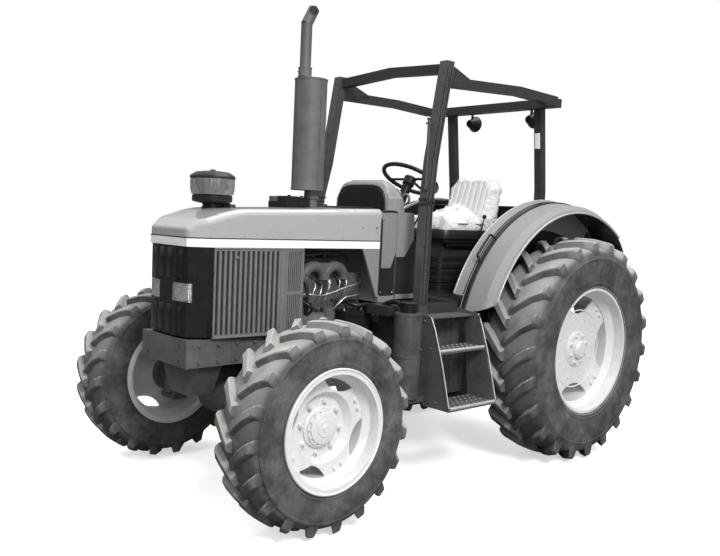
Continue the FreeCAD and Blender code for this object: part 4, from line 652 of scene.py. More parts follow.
def wheel_fittings(end, side, sign):
    """Nuts, hub rings, cap, rim brackets and valve of one wheel, set out on circles about its axis."""
    low, high = span(f"{end}_rim_{side}")
    centre, rim_y = (low + high) / 2, high[1] if sign > 0 else low[1]
    disc = abs(centre[1]) + 0.018 if end == "front" else abs(rim_y) - 0.123
    form = Form()

    def face(out, dx=0.0, dz=0.0):
        """The place out from the disc along the axle, moved across it by dx and dz."""
        return np.array((centre[0] + dx, sign * (disc + out), centre[2] + dz))

    for profile, out, parts in WHEEL_CAPS[end]:
        lathe(form, [(r, sign * h) for r, h in profile], face(out), "y", parts)
    for out, radius, count, start, *bolt in WHEEL_BOLTS[end]:
        bolts(form, around(face(out), radius, count, start), OUTWARD[sign], *bolt)
    if end == "rear":
        ring(form, [(0.27, 0.001 * sign), (0.275, 0.005 * sign), (0.28, 0.001 * sign)], face(-0.0005), "y", 64)
    x, out, z = WHEEL_VALVE[end]
    lathe(form, [(0.014, 0), (0.012, sign * 0.03), (0.006, sign * 0.05)], face(out, x, z), "y", 10)
    lip = (high - low)[2] / 2 - 0.006
    edge = [(lip, 0), (lip + 0.005, 0.003), (lip + 0.006, 0.008), (lip, 0.011), (lip - 0.008, 0.006)]
    ring(form, np.array(edge) * (1, sign), (centre[0], rim_y - sign * 0.006, centre[2]), "y", 96)
    dress(form, f"{end}_wheel_fittings_{side}", f"{end}_wheel_{side}", "wheel_paint", smooth=30)


# ---- nose, grilles and hood trim ----
def nose_trim():
    """Raised ribs on the nose above and below the lamps; each is half a sine wave across."""
    low, high = span("nose_grille")
    lamp_low, lamp_high = span("headlamp_left")
    form, t = Form(), np.linspace(0, math.pi, 7)
    for y in (-0.129, -0.043, 0.043, 0.129):
        face = high[0] - max(0.0, abs(y) + 0.03 - 0.11) * 0.2 - 0.002
        for bottom, top in ((low[2] + 0.01, lamp_low[2] - 0.02), (lamp_high[2] + 0.02, high[2] - 0.012)):
            form.grid([np.stack([face + rise * np.sin(t), y - 0.034 * np.cos(t), 0 * t + z], -1)
                       for z, rise in ((bottom, 0), (bottom + 0.006, 0.007), (top - 0.006, 0.007), (top, 0))])
    trim("nose_plastic", "nose_ribs", form, smooth=60)


def lamp_trim():
    """Lens of each head lamp, a shallow dome that follows the nose's bend, and the frame line round it."""
    for side, sign in SIDES:
        low, high = span(f"headlamp_{side}")
        inner, outer = (low[1], high[1])[::sign]
        y, z = np.linspace(inner, outer - sign * 0.006, 12), np.linspace(low[2] + 0.004, high[2] - 0.004, 9)
        face = high[0] - np.clip(np.abs(y) - 0.11, 0, None) * 0.2
        dome = 0.004 * np.outer(np.sin(np.linspace(0, math.pi, 12)), np.sin(np.linspace(0, math.pi, 9)))
        yy, zz = np.meshgrid(y, z, indexing="ij")
        trim("lamp_glass", f"lamp_lens_{side}", Form().grid(np.stack([face[:, None] + dome, yy, zz], -1)), smooth=60)
        edges = Form()
        for place in (low[2] - 0.002, high[2] + 0.002):
            carried(edges, np.stack([face - 0.001, y, 0 * y + place], -1), circle(0.0035, 8))
        trim("nose_plastic", f"lamp_frame_{side}", edges)


def grille_trim():
    """Painted shade behind the upright ribs: a near-black strip at the bottom of each groove; a light rim round each
    panel and the latch on it.
    """
    rod, proud = round_rect(0.006, 0.01, 0.002), 0.0005
    for side, sign in SIDES:
        low, high = span(f"side_grille_{side}")
        dark, rim = Form(), Form()
        slope = (high[1] - low[1] - 0.014) / (high[0] - low[0])
        inner = min(abs(low[1]), abs(high[1]))

        def wall(x):
            """The panel's outer face at x: it leans outwards in a straight line from front to back."""
            return sign * (inner + 0.014 + (high[0] - x) * slope)

        # painted shade: a near-black strip at the bottom of each groove stands for the dark seen through the grille
        for first, pitch, gap, count in ((0.288, 0.0322, 0.017, 13), (-0.181, 0.0136, 0.0065, 7)):
            for x in AXLE + first - pitch * np.arange(count):
                y = wall(x) - sign * 0.0085
                block(dark, (x - gap + 0.0003, y, low[2] + 0.0205), (x - 0.0003, y - sign * 0.001, high[2] - 0.0205))
        for z in (low[2] + 0.006, high[2] - 0.006):
            carried(rim, [(x, wall(x) + sign * proud, z) for x in np.linspace(high[0] - 0.004, low[0] + 0.004, 6)], rod)
        for x in (high[0] - 0.006, low[0] + 0.006, AXLE - 0.136, AXLE - 0.168):
            carried(rim, [(x, wall(x) + sign * proud, z) for z in np.linspace(low[2] + 0.004, high[2] - 0.004, 4)],
                    rod, up=(1, 0, 0))
        lathe(rim, [(0.009, 0), (0.009, sign * 0.008), (0.006, sign * 0.011)],
              (AXLE + 0.16, wall(AXLE + 0.16), high[2] - 0.055), "y", 14)
        trim("dark_gap", f"grille_depth_{side}", dark)
        trim("grille_metal", f"grille_rim_{side}", rim)


def hood_trim():
    """The dark joint under the hood, screws near its tail, its rubber tail seal and the far side's rail.

    The seal's arch is a half circle whose cosine and sine are raised to small powers, which squares its shoulders.
    """
    low, high = span("hood")
    joint, seal, screws, rail = Form(), Form(), Form(), Form()
    back, half, z = low[0], high[1], low[2]
    shoulder, nose = (AXLE + 0.34, 0.26), (high[0], 0.2)
    right = [(back, half), shoulder, nose]
    path = np.array([(x, -y, z) for x, y in right] + [(x, y, z) for x, y in reversed(right)])
    pieces = [np.linspace(*path[k:k + 2], 12, endpoint=False) for k in range(5)]
    carried(joint, np.concatenate([*pieces, path[-1:]]), round_rect(0.0024, 0.006, 0.001))
    t = np.linspace(0, math.pi, 25)
    arch = np.stack([0 * t + back - 0.004, half * np.sign(np.cos(t)) * np.abs(np.cos(t)) ** 0.35,
                     z + (high[2] - z + 0.003) * np.sin(t) ** 0.3], -1)
    carried(seal, arch, circle(0.008, 10), up=(1, 0, 0))
    for sign in (-1, 1):
        carried(seal, [(back - 0.004, sign * half, rise) for rise in np.linspace(1.17, z, 12)], circle(0.008, 10),
                up=(1, 0, 0))
        bolts(screws, at((-0.72, sign * (half - 0.012), 1.585), (-0.83, sign * (half + 0.002), 1.59)),
              OUTWARD[sign], 0.006, 0.004, 10)
    tube(rail, at((-0.66, -0.31, 1.722), (-0.86, -0.32, 1.728), (-0.99, -0.33, 1.72)), 0.007)
    lathe(rail, [(0.03, 0), (0.03, 0.014), (0.022, 0.02)], at(-0.05, -0.12, high[2] - 0.03), "z", 20)
    trim("dark_gap", "hood_joint", joint)
    trim("black_plastic", "hood_seal", seal)
    trim("bright_steel", "hood_screws", screws)
    trim("dark_paint", "hood_far_rail", rail)


# ---- stack and pre-cleaner ----
def stack_trim():
    """Rolled rims and clamps of the muffler, a near-black dish of painted shade in the tail pipe's open end, and the
    castings round its foot.
    """
    form, mouth_shade, base = Form(), Form(), Form()
    tail, foot, body = at(-0.606, -0.15, 0), at(-0.7, -0.15, 0), at(-0.661, -0.15, 0)
    for z in (1.813, 2.511):
        ring(form, [(0.1035, z - 0.006), (0.1075, z - 0.005), (0.1085, z), (0.1075, z + 0.005), (0.1035, z + 0.006)],
             body, "z", 48)
    band(form, (2.525, 2.578), 0.043, 0.0455, 0.004, 0.001, tail, 32)
    band(form, (1.757, 1.78), 0.046, 0.051, 0.003, 0.001, foot, 32)
    bolts(form, [tail + (0.047, 0.0, 2.55), foot + (0.052, 0.0, 1.765)], "x", 0.006, 0.012)
    carried(form, [body + (0.0, 0.1055, z) for z in (1.82, 2.16, 2.505)], round_rect(0.008, 0.0024, 0.0008),
            up=(1, 0, 0))
    lean = math.radians(29)
    ahead = np.array((-math.sin(lean), 0.0, math.cos(lean)))
    facing = np.array((0.35, 0.9, 0.25))
    facing -= (facing @ ahead) * ahead
    facing /= np.linalg.norm(facing)
    side, centre = np.cross(ahead, facing), tail + (0, 0, 2.855) + (0.1235 - 0.04) * ahead
    t = np.arange(32) * math.pi / 16

    def oval(scale, out):
        """An oval on the pipe's wall: its points sink from the middle by the pipe's own curve."""
        spread = scale * (0.031 * np.cos(t)[:, None] * side + 0.034 * np.sin(t)[:, None] * ahead)
        sag = np.sqrt(np.maximum(0.0, 0.0362 ** 2 - (scale * 0.031 * np.cos(t)) ** 2))[:, None]
        return centre + spread + (sag + out) * facing

    # painted shade: a shallow near-black dish stands for the shaded hollow of the tail pipe
    mouth_shade.grid([oval(*row) for row in ((0, 0.0012), (0.45, 0.0012), (0.85, 0.0012), (0.85, -0.006), (0, -0.01))],
               wrap_cols=True)
    form.grid([oval(*row) for row in ((0.84, -0.004), (0.86, 0.003), (0.96, 0.0035), (1.06, -0.004))],
              wrap_rows=True, wrap_cols=True)
    for first, second in (((-0.655, -0.302, 1.7), (-0.466, -0.105, 1.708)),
                          ((-0.64, -0.304, 1.69), (-0.464, -0.13, 1.73)),
                          ((-0.56, -0.2, 1.69), (-0.46, -0.102, 1.764)),
                          ((-0.645, -0.16, 1.7), (-0.56, -0.096, 1.755))):
        block(base, at(*first), at(*second))
    bolts(base, at((-0.5, -0.13, 1.764), (-0.6, -0.13, 1.762)), "z", 0.012, 0.008)
    trim("black_plastic", "stack_base", base, bevel=0.003)
    trim("muffler_paint", "stack_clamps", form)
    trim("dark_gap", "stack_mouth", mouth_shade)


def pre_cleaner():
    """Neck, base, clear bowl with its core and the domed lid, each turned about the cleaner's upright axis.

    The bowl's 28 flutes are a cosine added to its radius.
    """
    low, high = span("air_precleaner")
    centre = (low + high) / 2 * (1, 1, 0)
    r = (high - low)[0] / 2
    dark, bowl, lid = Form(), Form(), Form()
    lathe(dark, [(0.058, low[2] + 0.002), (0.058, 1.655), (0.062, 1.658), (0.062, 1.674), (0.056, 1.677),
                 (0.056, 1.69), (0.062, 1.694), (0.1, 1.7), (0.116, 1.705), (0.118, 1.715), (0.118, 1.738),
                 (0.112, 1.744), (0.09, 1.746)], centre, "z", 56)
    for z in (1.712, 1.722, 1.732):
        ring(dark, [(0.117, z - 0.0025), (0.1195, z), (0.117, z + 0.0025)], centre, "z", 56)
    block(dark, centre + (-0.11, -0.03, 1.66), centre + (-0.06, 0.03, 1.7))
    t = np.arange(168) * 2 * math.pi / 168
    flute = 1 + 0.008 * np.cos(28 * t)
    rows = [np.stack([centre[0] + radius * flute * np.cos(t), centre[1] + radius * flute * np.sin(t), 0 * t + z], -1)
            for radius, z in ((0.108, 1.744), (0.121, 1.746), (r - 0.005, 1.77), (r - 0.003, 1.81), (r - 0.004, 1.838),
                              (0.108, 1.84))]
    bowl.grid([rows[0] * 0 + rows[0].mean(0), *rows, rows[-1] * 0 + rows[-1].mean(0)], wrap_cols=True)
    lathe(dark, [(0.06, 1.7465), (0.075, 1.76), (0.1, 1.8), (0.1, 1.835)], centre, "z", 40)
    lathe(lid, [(r - 0.006, 1.836), (r, 1.84), (r, 1.85), (r - 0.006, 1.858), (0.104, 1.872), (0.094, 1.8765),
                (0.05, 1.882), (0.018, 1.8835), (0.016, 1.889), (0.01, high[2])], centre, "z", 64)
    ring(lid, [(r, 1.843), (r + 0.0015, 1.845), (r, 1.847)], centre, "z", 64)
    trim("clear_bowl", "cleaner_bowl", bowl, smooth=50)
    trim("black_plastic", "cleaner_lid", lid)
    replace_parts(trim("black_plastic", "cleaner_base", dark), "air_precleaner")


# ---- engine ----
# Pipes on both sides: which form, its radius and parts round, and its points on the left side.
SIDE_PIPES = (
    ("bright", 0.0065, 12, (-0.3, 0.235, 1.178), (-0.36, 0.285, 1.18), (-0.465, 0.29, 1.172), (-0.62, 0.29, 1.21),
     (-0.759, 0.285, 1.243), (-0.82, 0.22, 1.26)),
    ("bright", 0.0075, 12, (-0.548, 0.25, 1.05), (-0.59, 0.29, 1.12), (-0.638, 0.295, 1.153), (-0.7, 0.295, 1.162),
     (-0.754, 0.29, 1.173), (-0.829, 0.25, 1.213)),
    *(("bright", 0.0035, 8, (x, 0.215, 1.29), (x - 0.004, 0.262, 1.25), (x + 0.012, 0.258, 1.17),
       (x + 0.04, 0.215, 1.08)) for x in (-0.523, -0.53, -0.61, -0.665)),
    ("dark", 0.013, 12, (-0.3, 0.2, 1.33), (-0.34, 0.27, 1.24), (-0.345, 0.275, 1.12), (-0.36, 0.25, 1.04)),
    ("dark", 0.014, 12, (-0.69, 0.2, 1.13), (-0.74, 0.28, 1.1), (-0.83, 0.3, 1.1), (-0.9, 0.27, 1.04)),
    ("dark", 0.012, 12, (-0.31, 0.22, 1.4), (-0.45, 0.25, 1.425), (-0.62, 0.25, 1.42), (-0.72, 0.21, 1.38)),
)


def engine_side(bright, dark, iron, sign):
    """Pipes along smooth curves, long flanges, ribs, core plugs and bolts of one side of the engine."""
    for which, radius, parts, *points in SIDE_PIPES:
        tube(bright if which == "bright" else dark, at(*points) * (1, sign, 1), radius, parts)
    for bottom, top, back in ((1.09, 1.12, -0.8), (0.86, 0.9, -0.8), (0.73, 0.76, -0.82)):
        block(iron, at(back, sign * 0.186, bottom), at(-0.24, sign * 0.2, top))
    for x in np.arange(-0.76, -0.24, 0.13):
        block(iron, at(x, sign * 0.186, 0.9), at(x + 0.02, sign * 0.197, 1.09))
        lathe(iron, [(0.03, 0), (0.03, sign * 0.008), (0.024, sign * 0.011)], at(x + 0.075, sign * 0.188, 0.985),
              "y", 24)
    bolts(iron, [at(x, sign * 0.2, z) for x in np.arange(-0.78, -0.25, 0.066) for z in (1.105, 0.88, 0.745)],
          OUTWARD[sign], 0.008, 0.008)
    heads = {1: at(*((x, 0.264, z) for x, z in ((-0.345, 1.3), (-0.505, 1.3), (-0.51, 1.262), (-0.67, 1.3)))),
             -1: at(*((x, -0.2, 1.25) for x in (-0.4, -0.55, -0.7)))}
    bolts(bright, heads[sign], OUTWARD[sign], 0.008, 0.007)


def engine_detail():
    """The engine's two sides, its cover's ribs, filter, exhaust pipes, fan and battery leads.

    A fan blade is flat along its own turn and its depth rises in a straight line across it.
    """
    bright, dark, iron = Form(), Form(), Form()
    for _, sign in SIDES:
        engine_side(bright, dark, iron, sign)
    for x in (-0.3, -0.42, -0.54, -0.66, -0.76):
        block(iron, at(x - 0.012, -0.108, 1.3), at(x + 0.012, 0.108, 1.389))
        lathe(bright, [(0.012, 0), (0.012, 0.01), (0.006, 0.014)], at(x + 0.05, 0.0, 1.384), "z", 10)
    lathe(iron, [(0.053, 0), (0.056, 0.006), (0.056, 0.03), (0.05, 0.034), (0.03, 0.036)], at(-0.33, 0.23, 1.01),
          "x", 32)
    bolts(iron, around(at(-0.295, 0.23, 1.01), 0.04, 6, 0, "x"), "x", 0.006, 0.008)
    for z in (0.93, 0.96, 1.05):
        ring(iron, [(0.0435, z - 0.003), (0.046, z), (0.0435, z + 0.003)], at(-0.56, 0.226, 0), "z", 28)
    tube(dark, at((-0.36, 0.255, 1.05), (-0.37, 0.3, 1.09), (-0.34, 0.3, 1.12), (-0.31, 0.26, 1.14)), 0.008)
    for x, z, end in ((-0.38, 1.15, 1.15), (-0.43, 1.115, 1.135), (-0.48, 1.08, 1.12)):
        lathe(bright, [(0.011, 0), (0.011, 0.03), (0.007, 0.034), (0.007, 0.045)], at(x, 0.19, z), "y", 12)
        tube(bright, at((x, 0.235, z), (x - 0.02, 0.262, end + 0.03), (x - 0.05, 0.25, end + 0.09),
                        (x - 0.06, 0.2, end + 0.12)), 0.0032, 8)
    tube(iron, at((-0.3, -0.235, 1.2), (-0.45, -0.24, 1.2), (-0.6, -0.24, 1.21), (-0.69, -0.2, 1.28),
                  (-0.7, -0.152, 1.36)), 0.034, 20)
    for x in (-0.34, -0.45, -0.56, -0.65):
        tube(iron, at((x, -0.188, 1.17), (x, -0.215, 1.18), (x, -0.235, 1.2)), 0.024, 14)
    radiator = span("radiator")[0][0]
    ring(iron, [(0.2, 0), (0.214, 0), (0.214, 0.05), (0.2, 0.05)], (radiator - 0.055, 0, 1.2), "x", 48)
    along, wide = np.meshgrid(np.linspace(0.04, 0.19, 6), np.linspace(-0.03, 0.03, 4), indexing="ij")
    for a in np.arange(7) * 2 * math.pi / 7:
        blade = np.stack([radiator - 0.06 + 0.02 * wide / 0.03, along * math.cos(a) - wide * math.sin(a),
                          1.2 + along * math.sin(a) + wide * math.cos(a)], -1)
        dark.grid(np.concatenate([blade, (blade + (0.002, 0, 0))[::-1]]), wrap_rows=True)
    lathe(iron, [(0.05, 0), (0.05, 0.04), (0.03, 0.05)], (radiator - 0.11, 0, 1.2), "x", 24)
    low, high = span("battery_box")
    block(dark, (low[0] + 0.02, high[1] - 0.004, high[2] - 0.03), (high[0] - 0.02, high[1] + 0.002, high[2] - 0.012))
    for x in (low[0] + 0.04, high[0] - 0.04):
        lathe(bright, [(0.011, 0), (0.011, 0.012), (0.006, 0.016)], (x, 0.27, high[2]), "z", 12)
        tube(dark, [(x, 0.27, high[2] + 0.012), (x + 0.02, 0.24, high[2] + 0.05), (x + 0.05, 0.2, high[2] + 0.06)],
             0.007)
    block(iron, at(-0.905, 0.262, 0.99), at(-0.892, 0.335, 1.16))
    bolts(bright, [at(-0.892, y, z) for y in (0.28, 0.32) for z in (1.03, 1.13)], "x", 0.008, 0.006)
    trim("bright_steel", "engine_pipes", bright, smooth=50)
    trim("black_plastic", "engine_hoses", dark, smooth=50)
    trim("chassis_paint", "engine_castings", iron)


# ---- roll-over frame ----
def roll_frame_trim():
    """Ridges along the front posts, the clamps and end sockets of the grab rails, feet, plates and lamp glasses."""
    form, glass, plate_form = Form(), Form(), Form()
    post_x, post_y, post_z = (-1.002, -1.062, -1.12, -1.222), (0.58, 0.53, 0.5, 0.5), (1.04, 1.7, 2.02, 2.64)
    for side, sign in SIDES:
        out, z = OUTWARD[sign], np.linspace(1.13, 2.6, 16)
        for dx in (-0.019, 0.017):
            path = [AXLE + np.interp(z, post_z, post_x) + dx, sign * (np.interp(z, post_z, post_y) + 0.0295), z]
            carried(form, np.stack(path, -1), round_rect(0.022, 0.007, 0.003), up=(1, 0, 0))
        bolts(form, at((-1.03, sign * 0.58, 1.09), (-0.985, sign * 0.58, 1.09)), out, 0.01, 0.01)
        for z in (1.745, 1.775):
            x, y = np.interp(z, post_z, post_x), np.interp(z, post_z, post_y)
            block(form, at(x - 0.04, sign * (y - 0.034), z - 0.009), at(x + 0.04, sign * (y + 0.036), z + 0.009))
        bolts(form, at((-1.088, sign * 0.566, 1.76), (-1.048, sign * 0.566, 1.76)), out, 0.008, 0.01)
        for z in (1.835, 2.265):
            lathe(form, [(0.012, -0.004), (0.0135, 0), (0.012, 0.006), (0.004, 0.008)], at(-1.04, sign * 0.54, z),
                  "z", 16)
        low, high = span(f"rops_rear_post_{side}")
        block(form, (low[0] + 0.08, sign * 0.335, 1.126), (high[0] + 0.03, sign * 0.486, 1.14))
        bolts(form, [(x, sign * y, 1.14) for x in (low[0] + 0.1, high[0] + 0.01) for y in (0.35, 0.47)],
              "z", 0.011, 0.01)
        lamp = (span(f"work_lamp_{side}")[0][0], sign * 0.28, 2.425)
        lathe(glass, [(0.054, 0.004), (0.054, -0.002), (0.04, -0.006), (0.02, -0.008)], lamp, "x", 32)
        ring(form, [(0.055, 0.003), (0.061, 0.003), (0.0625, -0.003), (0.061, -0.007), (0.055, -0.006)], lamp, "x", 36)
    back = span("rops_roof")[0][0]
    bolts(form, [(back - 0.0005, y, 2.511) for y in np.linspace(-0.5, 0.5, 5)], "-x", 0.009, 0.007)
    path = [(REAR + np.interp(z, (1.9, 2.49), (-0.06, 0.015)) + 0.0295, 0.41, z) for z in (2.2, 2.255, 2.31)]
    carried(plate_form, path, round_rect(0.004, 0.044, 0.001), up=(0, 1, 0))
    trim("dark_paint", "roll_frame_trim", form)
    trim("lamp_glass", "work_lamp_glass", glass, smooth=60)
    trim("band_paint", "post_plate", plate_form)


# ---- cowl, dash and wheel ----
def arch(x, half, foot, top):
    """An arch across the tractor at x: a half circle whose sines are raised to 0.42, which squares its shoulders."""
    t = np.linspace(0, math.pi, 29)
    c, s = np.cos(t), np.sin(t)
    return np.stack([0 * t + x, half * np.sign(c) * np.abs(c) ** 0.42, foot + (top - foot) * s ** 0.42], -1)


def dash_trim():
    """A rounded instrument pod whose outline shrinks from front to back, its dark face, piping, levers and gauges."""
    low, high = span("dash_console")
    shell, dark, steel, light = Form(), Form(), Form(), Form()
    front, foot, crest = high[0] + 0.001, 1.6, high[2] - 0.001
    rows = [arch(front + dx, half, foot, crest - drop) for dx, half, drop in (
        (0.0, 0.236, 0.03), (-0.012, 0.247, 0.008), (-0.05, 0.249, 0), (-0.09, 0.249, 0.012), (-0.14, 0.243, 0.07),
        (-0.172, 0.232, 0.14), (-0.188, 0.215, 0.22))]
    shell.grid([rows[0] * (1, 0, 0) + (0, 0, 1.7), *rows, rows[-1] * (1, 0, 0) + (0, 0, 1.65)])
    rim = arch(front + 0.002, 0.212, foot, crest - 0.052)
    dark.grid([rim * (1, 0, 0) + (0.003, 0, 1.72), rim + (0.003, 0, 0), rim - (0.002, 0, 0),
               rim * (1, 0, 0) + (-0.002, 0, 1.72)])
    carried(dark, arch(front + 0.003, 0.226, foot, crest - 0.04), circle(0.0085, 10), up=(1, 0, 0))
    bolts(dark, [(front + 0.002, y, 1.725) for y in (-0.15, 0, 0.15)], "x", 0.008, 0.006, 10)
    for y, z, r in ((0.0, 1.8, 0.05), (0.1, 1.785, 0.034), (-0.1, 1.785, 0.034)):
        ring(steel, [(r - 0.004, -0.004), (r, -0.008), (r + 0.005, -0.004), (r + 0.005, 0.01), (r - 0.004, 0.01)],
             (low[0] + 0.052, y, z), "x", 32)
    for _, sign in SIDES:
        y = sign * span("cowl")[1][1]
        plate(light, [(-0.878, 1.665), (-0.99, 1.665), (-1.003, 1.62), (-1.003, 1.45), (-0.965, 1.345),
                      (-0.878, 1.345)], y, sign * 0.002)
        plate(dark, [(-0.878, 1.335), (-0.97, 1.335), (-1.006, 1.43), (-1.006, 1.16), (-0.878, 1.16)], y, sign * 0.0015)
        bolts(steel, at((-0.885, y, 1.18), (-0.99, y, 1.18), (-0.885, y, 1.64)), OUTWARD[sign], 0.006, 0.004, 10)
        tube(dark, at((-0.874, y, 1.69), (-0.95, y, 1.694), (-1.004, y * 0.99, 1.69)), 0.007)
        plate(light, [(-1.008, 1.69), (-1.15, 1.69), (-1.168, 1.66), (-1.168, 1.52), (-1.09, 1.405), (-1.008, 1.405)],
              sign * 0.255, sign * 0.09)
        plate(dark, [(-1.008, 1.402), (-1.09, 1.402), (-1.168, 1.515), (-1.2, 1.515), (-1.235, 1.13), (-1.008, 1.13)],
              sign * 0.25, sign * 0.09)
        plate(light, [(-1.02, 1.165), (-1.24, 1.165), (-1.245, 1.135), (-1.02, 1.135)], sign * 0.3405, sign * 0.004)
    tube(dark, at((-1.38, 0.14, 1.6), (-1.4, 0.18, 1.7), (-1.43, 0.19, 1.84)), 0.006)
    lathe(dark, [(0.012, 0), (0.016, 0.01), (0.014, 0.03), (0.006, 0.036)], at(-1.43, 0.19, 1.83), "z", 16)
    tube(dark, at((-1.45, -0.05, 1.83), (-1.45, -0.12, 1.85), (-1.45, -0.2, 1.87)), 0.005)
    lathe(dark, [(0.008, 0), (0.012, -0.01), (0.011, -0.03), (0.004, -0.034)], at(-1.45, -0.19, 1.868), "y", 14)
    trim("dash_plastic", "dash_pod", shell, smooth=50)
    trim("black_plastic", "dash_face", dark, smooth=50)
    trim("bright_steel", "dash_rings", steel)
    # the cowl panels take the body paint darkened as painted shade
    trim("fender_paint", "cowl_panels", light)


def steering_wheel_trim():
    """Finger grips along the rim: a torus whose tube radius swells as a cosine round the wheel, and a boss cap."""
    tilt = math.radians(28)
    centre, rise = at(-1.47, 0, 1.927), np.array((-math.sin(tilt), 0, math.cos(tilt)))
    across = np.array((math.cos(tilt), 0, math.sin(tilt)))

    def place(radius, turn, height):
        """A point by its radius and turn about the wheel's axis and its height along it."""
        return centre + ((radius * np.cos(turn))[..., None] * across + (radius * np.sin(turn))[..., None] * (0, 1, 0)
                         + (height + 0 * turn)[..., None] * rise)

    u, v = np.meshgrid(np.arange(144) * 2 * math.pi / 144, np.arange(12) * 2 * math.pi / 12, indexing="ij")
    r = 0.0146 + 0.0009 * np.cos(36 * u)
    form = Form().grid(place(0.198 + r * np.cos(v), u, r * np.sin(v)), wrap_rows=True, wrap_cols=True)
    t = np.arange(32) * 2 * math.pi / 32
    form.grid([place(radius, t, height) for radius, height in (
        (0, -0.002), (0.043, -0.002), (0.045, 0.004), (0.04, 0.012), (0.03, 0.0155), (0.028, 0.0145), (0, 0.0165))],
        wrap_cols=True)
    dress(form, "wheel_grip", "steering_wheel", "black_plastic", smooth=50)


# ---- fenders, steps, tanks and floor ----
FENDER_FRONT, FENDER_REAR = 23.5, 124  # degrees about the rear axle that the fender's plate spans
FENDER_SKIN = 0.005


def about_hub(radius, y, turn):
    """Points about the rear axle: hub + radius * (cos turn, sin turn), at y across the tractor; turn in degrees."""
    turn = np.radians(turn)
    return np.stack(np.broadcast_arrays(REAR + radius * np.cos(turn), y, REAR_HUB_Z + radius * np.sin(turn)), -1)


def crown(y):
    """Radius of the fender's outer surface at the distance y from the middle plane."""
    return np.interp(y, (0.5, 0.595, 0.745, 0.788, 0.8), (1.04, 1.022, 1.004, 0.976, 0.955))


def fender_trim():
    """Strips, beads and rails along arcs about the rear axle, and the fenders' noses, walls, linings and rear flaps.

    The nose narrows as a quarter of a circle on its way down, and the flap sinks with the square of the way along it.
    """
    for side, sign in SIDES:
        dark, bead, flap, nose, panel = Form(), Form(), Form(), Form(), Form()
        for form, radius, y, start, end, count, section in (
                (dark, 1.0215, 0.6, 16.8, FENDER_REAR, 40, round_rect(0.014, 0.034, 0.003)),
                (dark, 1.0275, 0.572, 22.5, FENDER_REAR, 40, circle(0.004, 8)),
                (bead, 0.957, 0.8, 22.2, 124.6, 60, circle(0.007, 10)),
                (bead, 1.039, 0.503, 22.2, 124.6, 60, circle(0.006, 8))):
            carried(form, about_hub(radius, sign * y, np.linspace(start, end, count)), section, up=(0, 1, 0))
        handle = [about_hub(radius, sign * 0.6, np.linspace(start, end, count)) for radius, start, end, count in
                  ((1.027, 35.6, 35.8, 2), (1.08, 37, 46.6, 8), (1.027, 47.8, 48, 2))]
        tube(dark, np.concatenate(handle), 0.008, up=(0, 1, 0))
        along, w = np.meshgrid(np.linspace(0, 1, 12), np.linspace(0, 1, 16), indexing="ij")
        y = 0.509 + 0.28 * w
        radius = crown(y) - 0.0115 - 0.04 * along ** 2
        sheet(flap, *(about_hub(radius - thick, sign * y, 121 + 16 * along) for thick in (0, 0.006)))
        drop, w = np.meshgrid(np.linspace(0, 0.995, 14), np.linspace(0, 1, 12), indexing="ij")
        y = 0.575 + (0.025 + 0.2 * np.sqrt(1 - drop ** 2)) * w
        sheet(nose, *(about_hub(crown(y) - thick, sign * y, 22.3 - 6.0 * drop) for thick in (0, FENDER_SKIN)))
        turn, reach = np.meshgrid(np.linspace(FENDER_FRONT, 136, 40), np.linspace(0.45, 1.026, 6), indexing="ij")
        sheet(panel, *(about_hub(reach, sign * y, turn) for y in (0.5, 0.494)))
        turn, w = np.meshgrid(np.linspace(FENDER_FRONT, FENDER_REAR, 44), np.linspace(0, 1, 12), indexing="ij")
        y = 0.507 + 0.277 * w
        sheet(panel, *(about_hub(crown(y) - 0.013 - thick, sign * y, turn) for thick in (0, FENDER_SKIN)))
        trim("black_plastic", f"fender_strip_{side}", dark, smooth=50)
        trim("body_paint", f"fender_bead_{side}", bead, smooth=60)
        trim("black_plastic", f"fender_wall_{side}", panel, smooth=50)
        # the fender noses take the body paint darkened as painted shade
        trim("fender_paint", f"fender_nose_{side}", nose, smooth=50)
        trim("black_plastic", f"fender_flap_{side}", flap, smooth=50)


def rear_panel():
    """A pressed panel that closes the platform behind the seat, with a rolled top edge and two ribs."""
    form = Form()
    block(form, at(-2.318, -0.5, 1.45), at(-2.308, 0.5, 1.765))
    for x, z, half, section in ((-2.313, 1.765, 0.5, round_rect(0.024, 0.02, 0.008)),
                                (-2.306, 1.55, 0.46, round_rect(0.012, 0.02, 0.004)),
                                (-2.306, 1.65, 0.46, round_rect(0.012, 0.02, 0.004))):
        carried(form, at((x, -half, z), (x, 0.0, z), (x, half, z)), section)
    trim("black_plastic", "rear_panel", form)


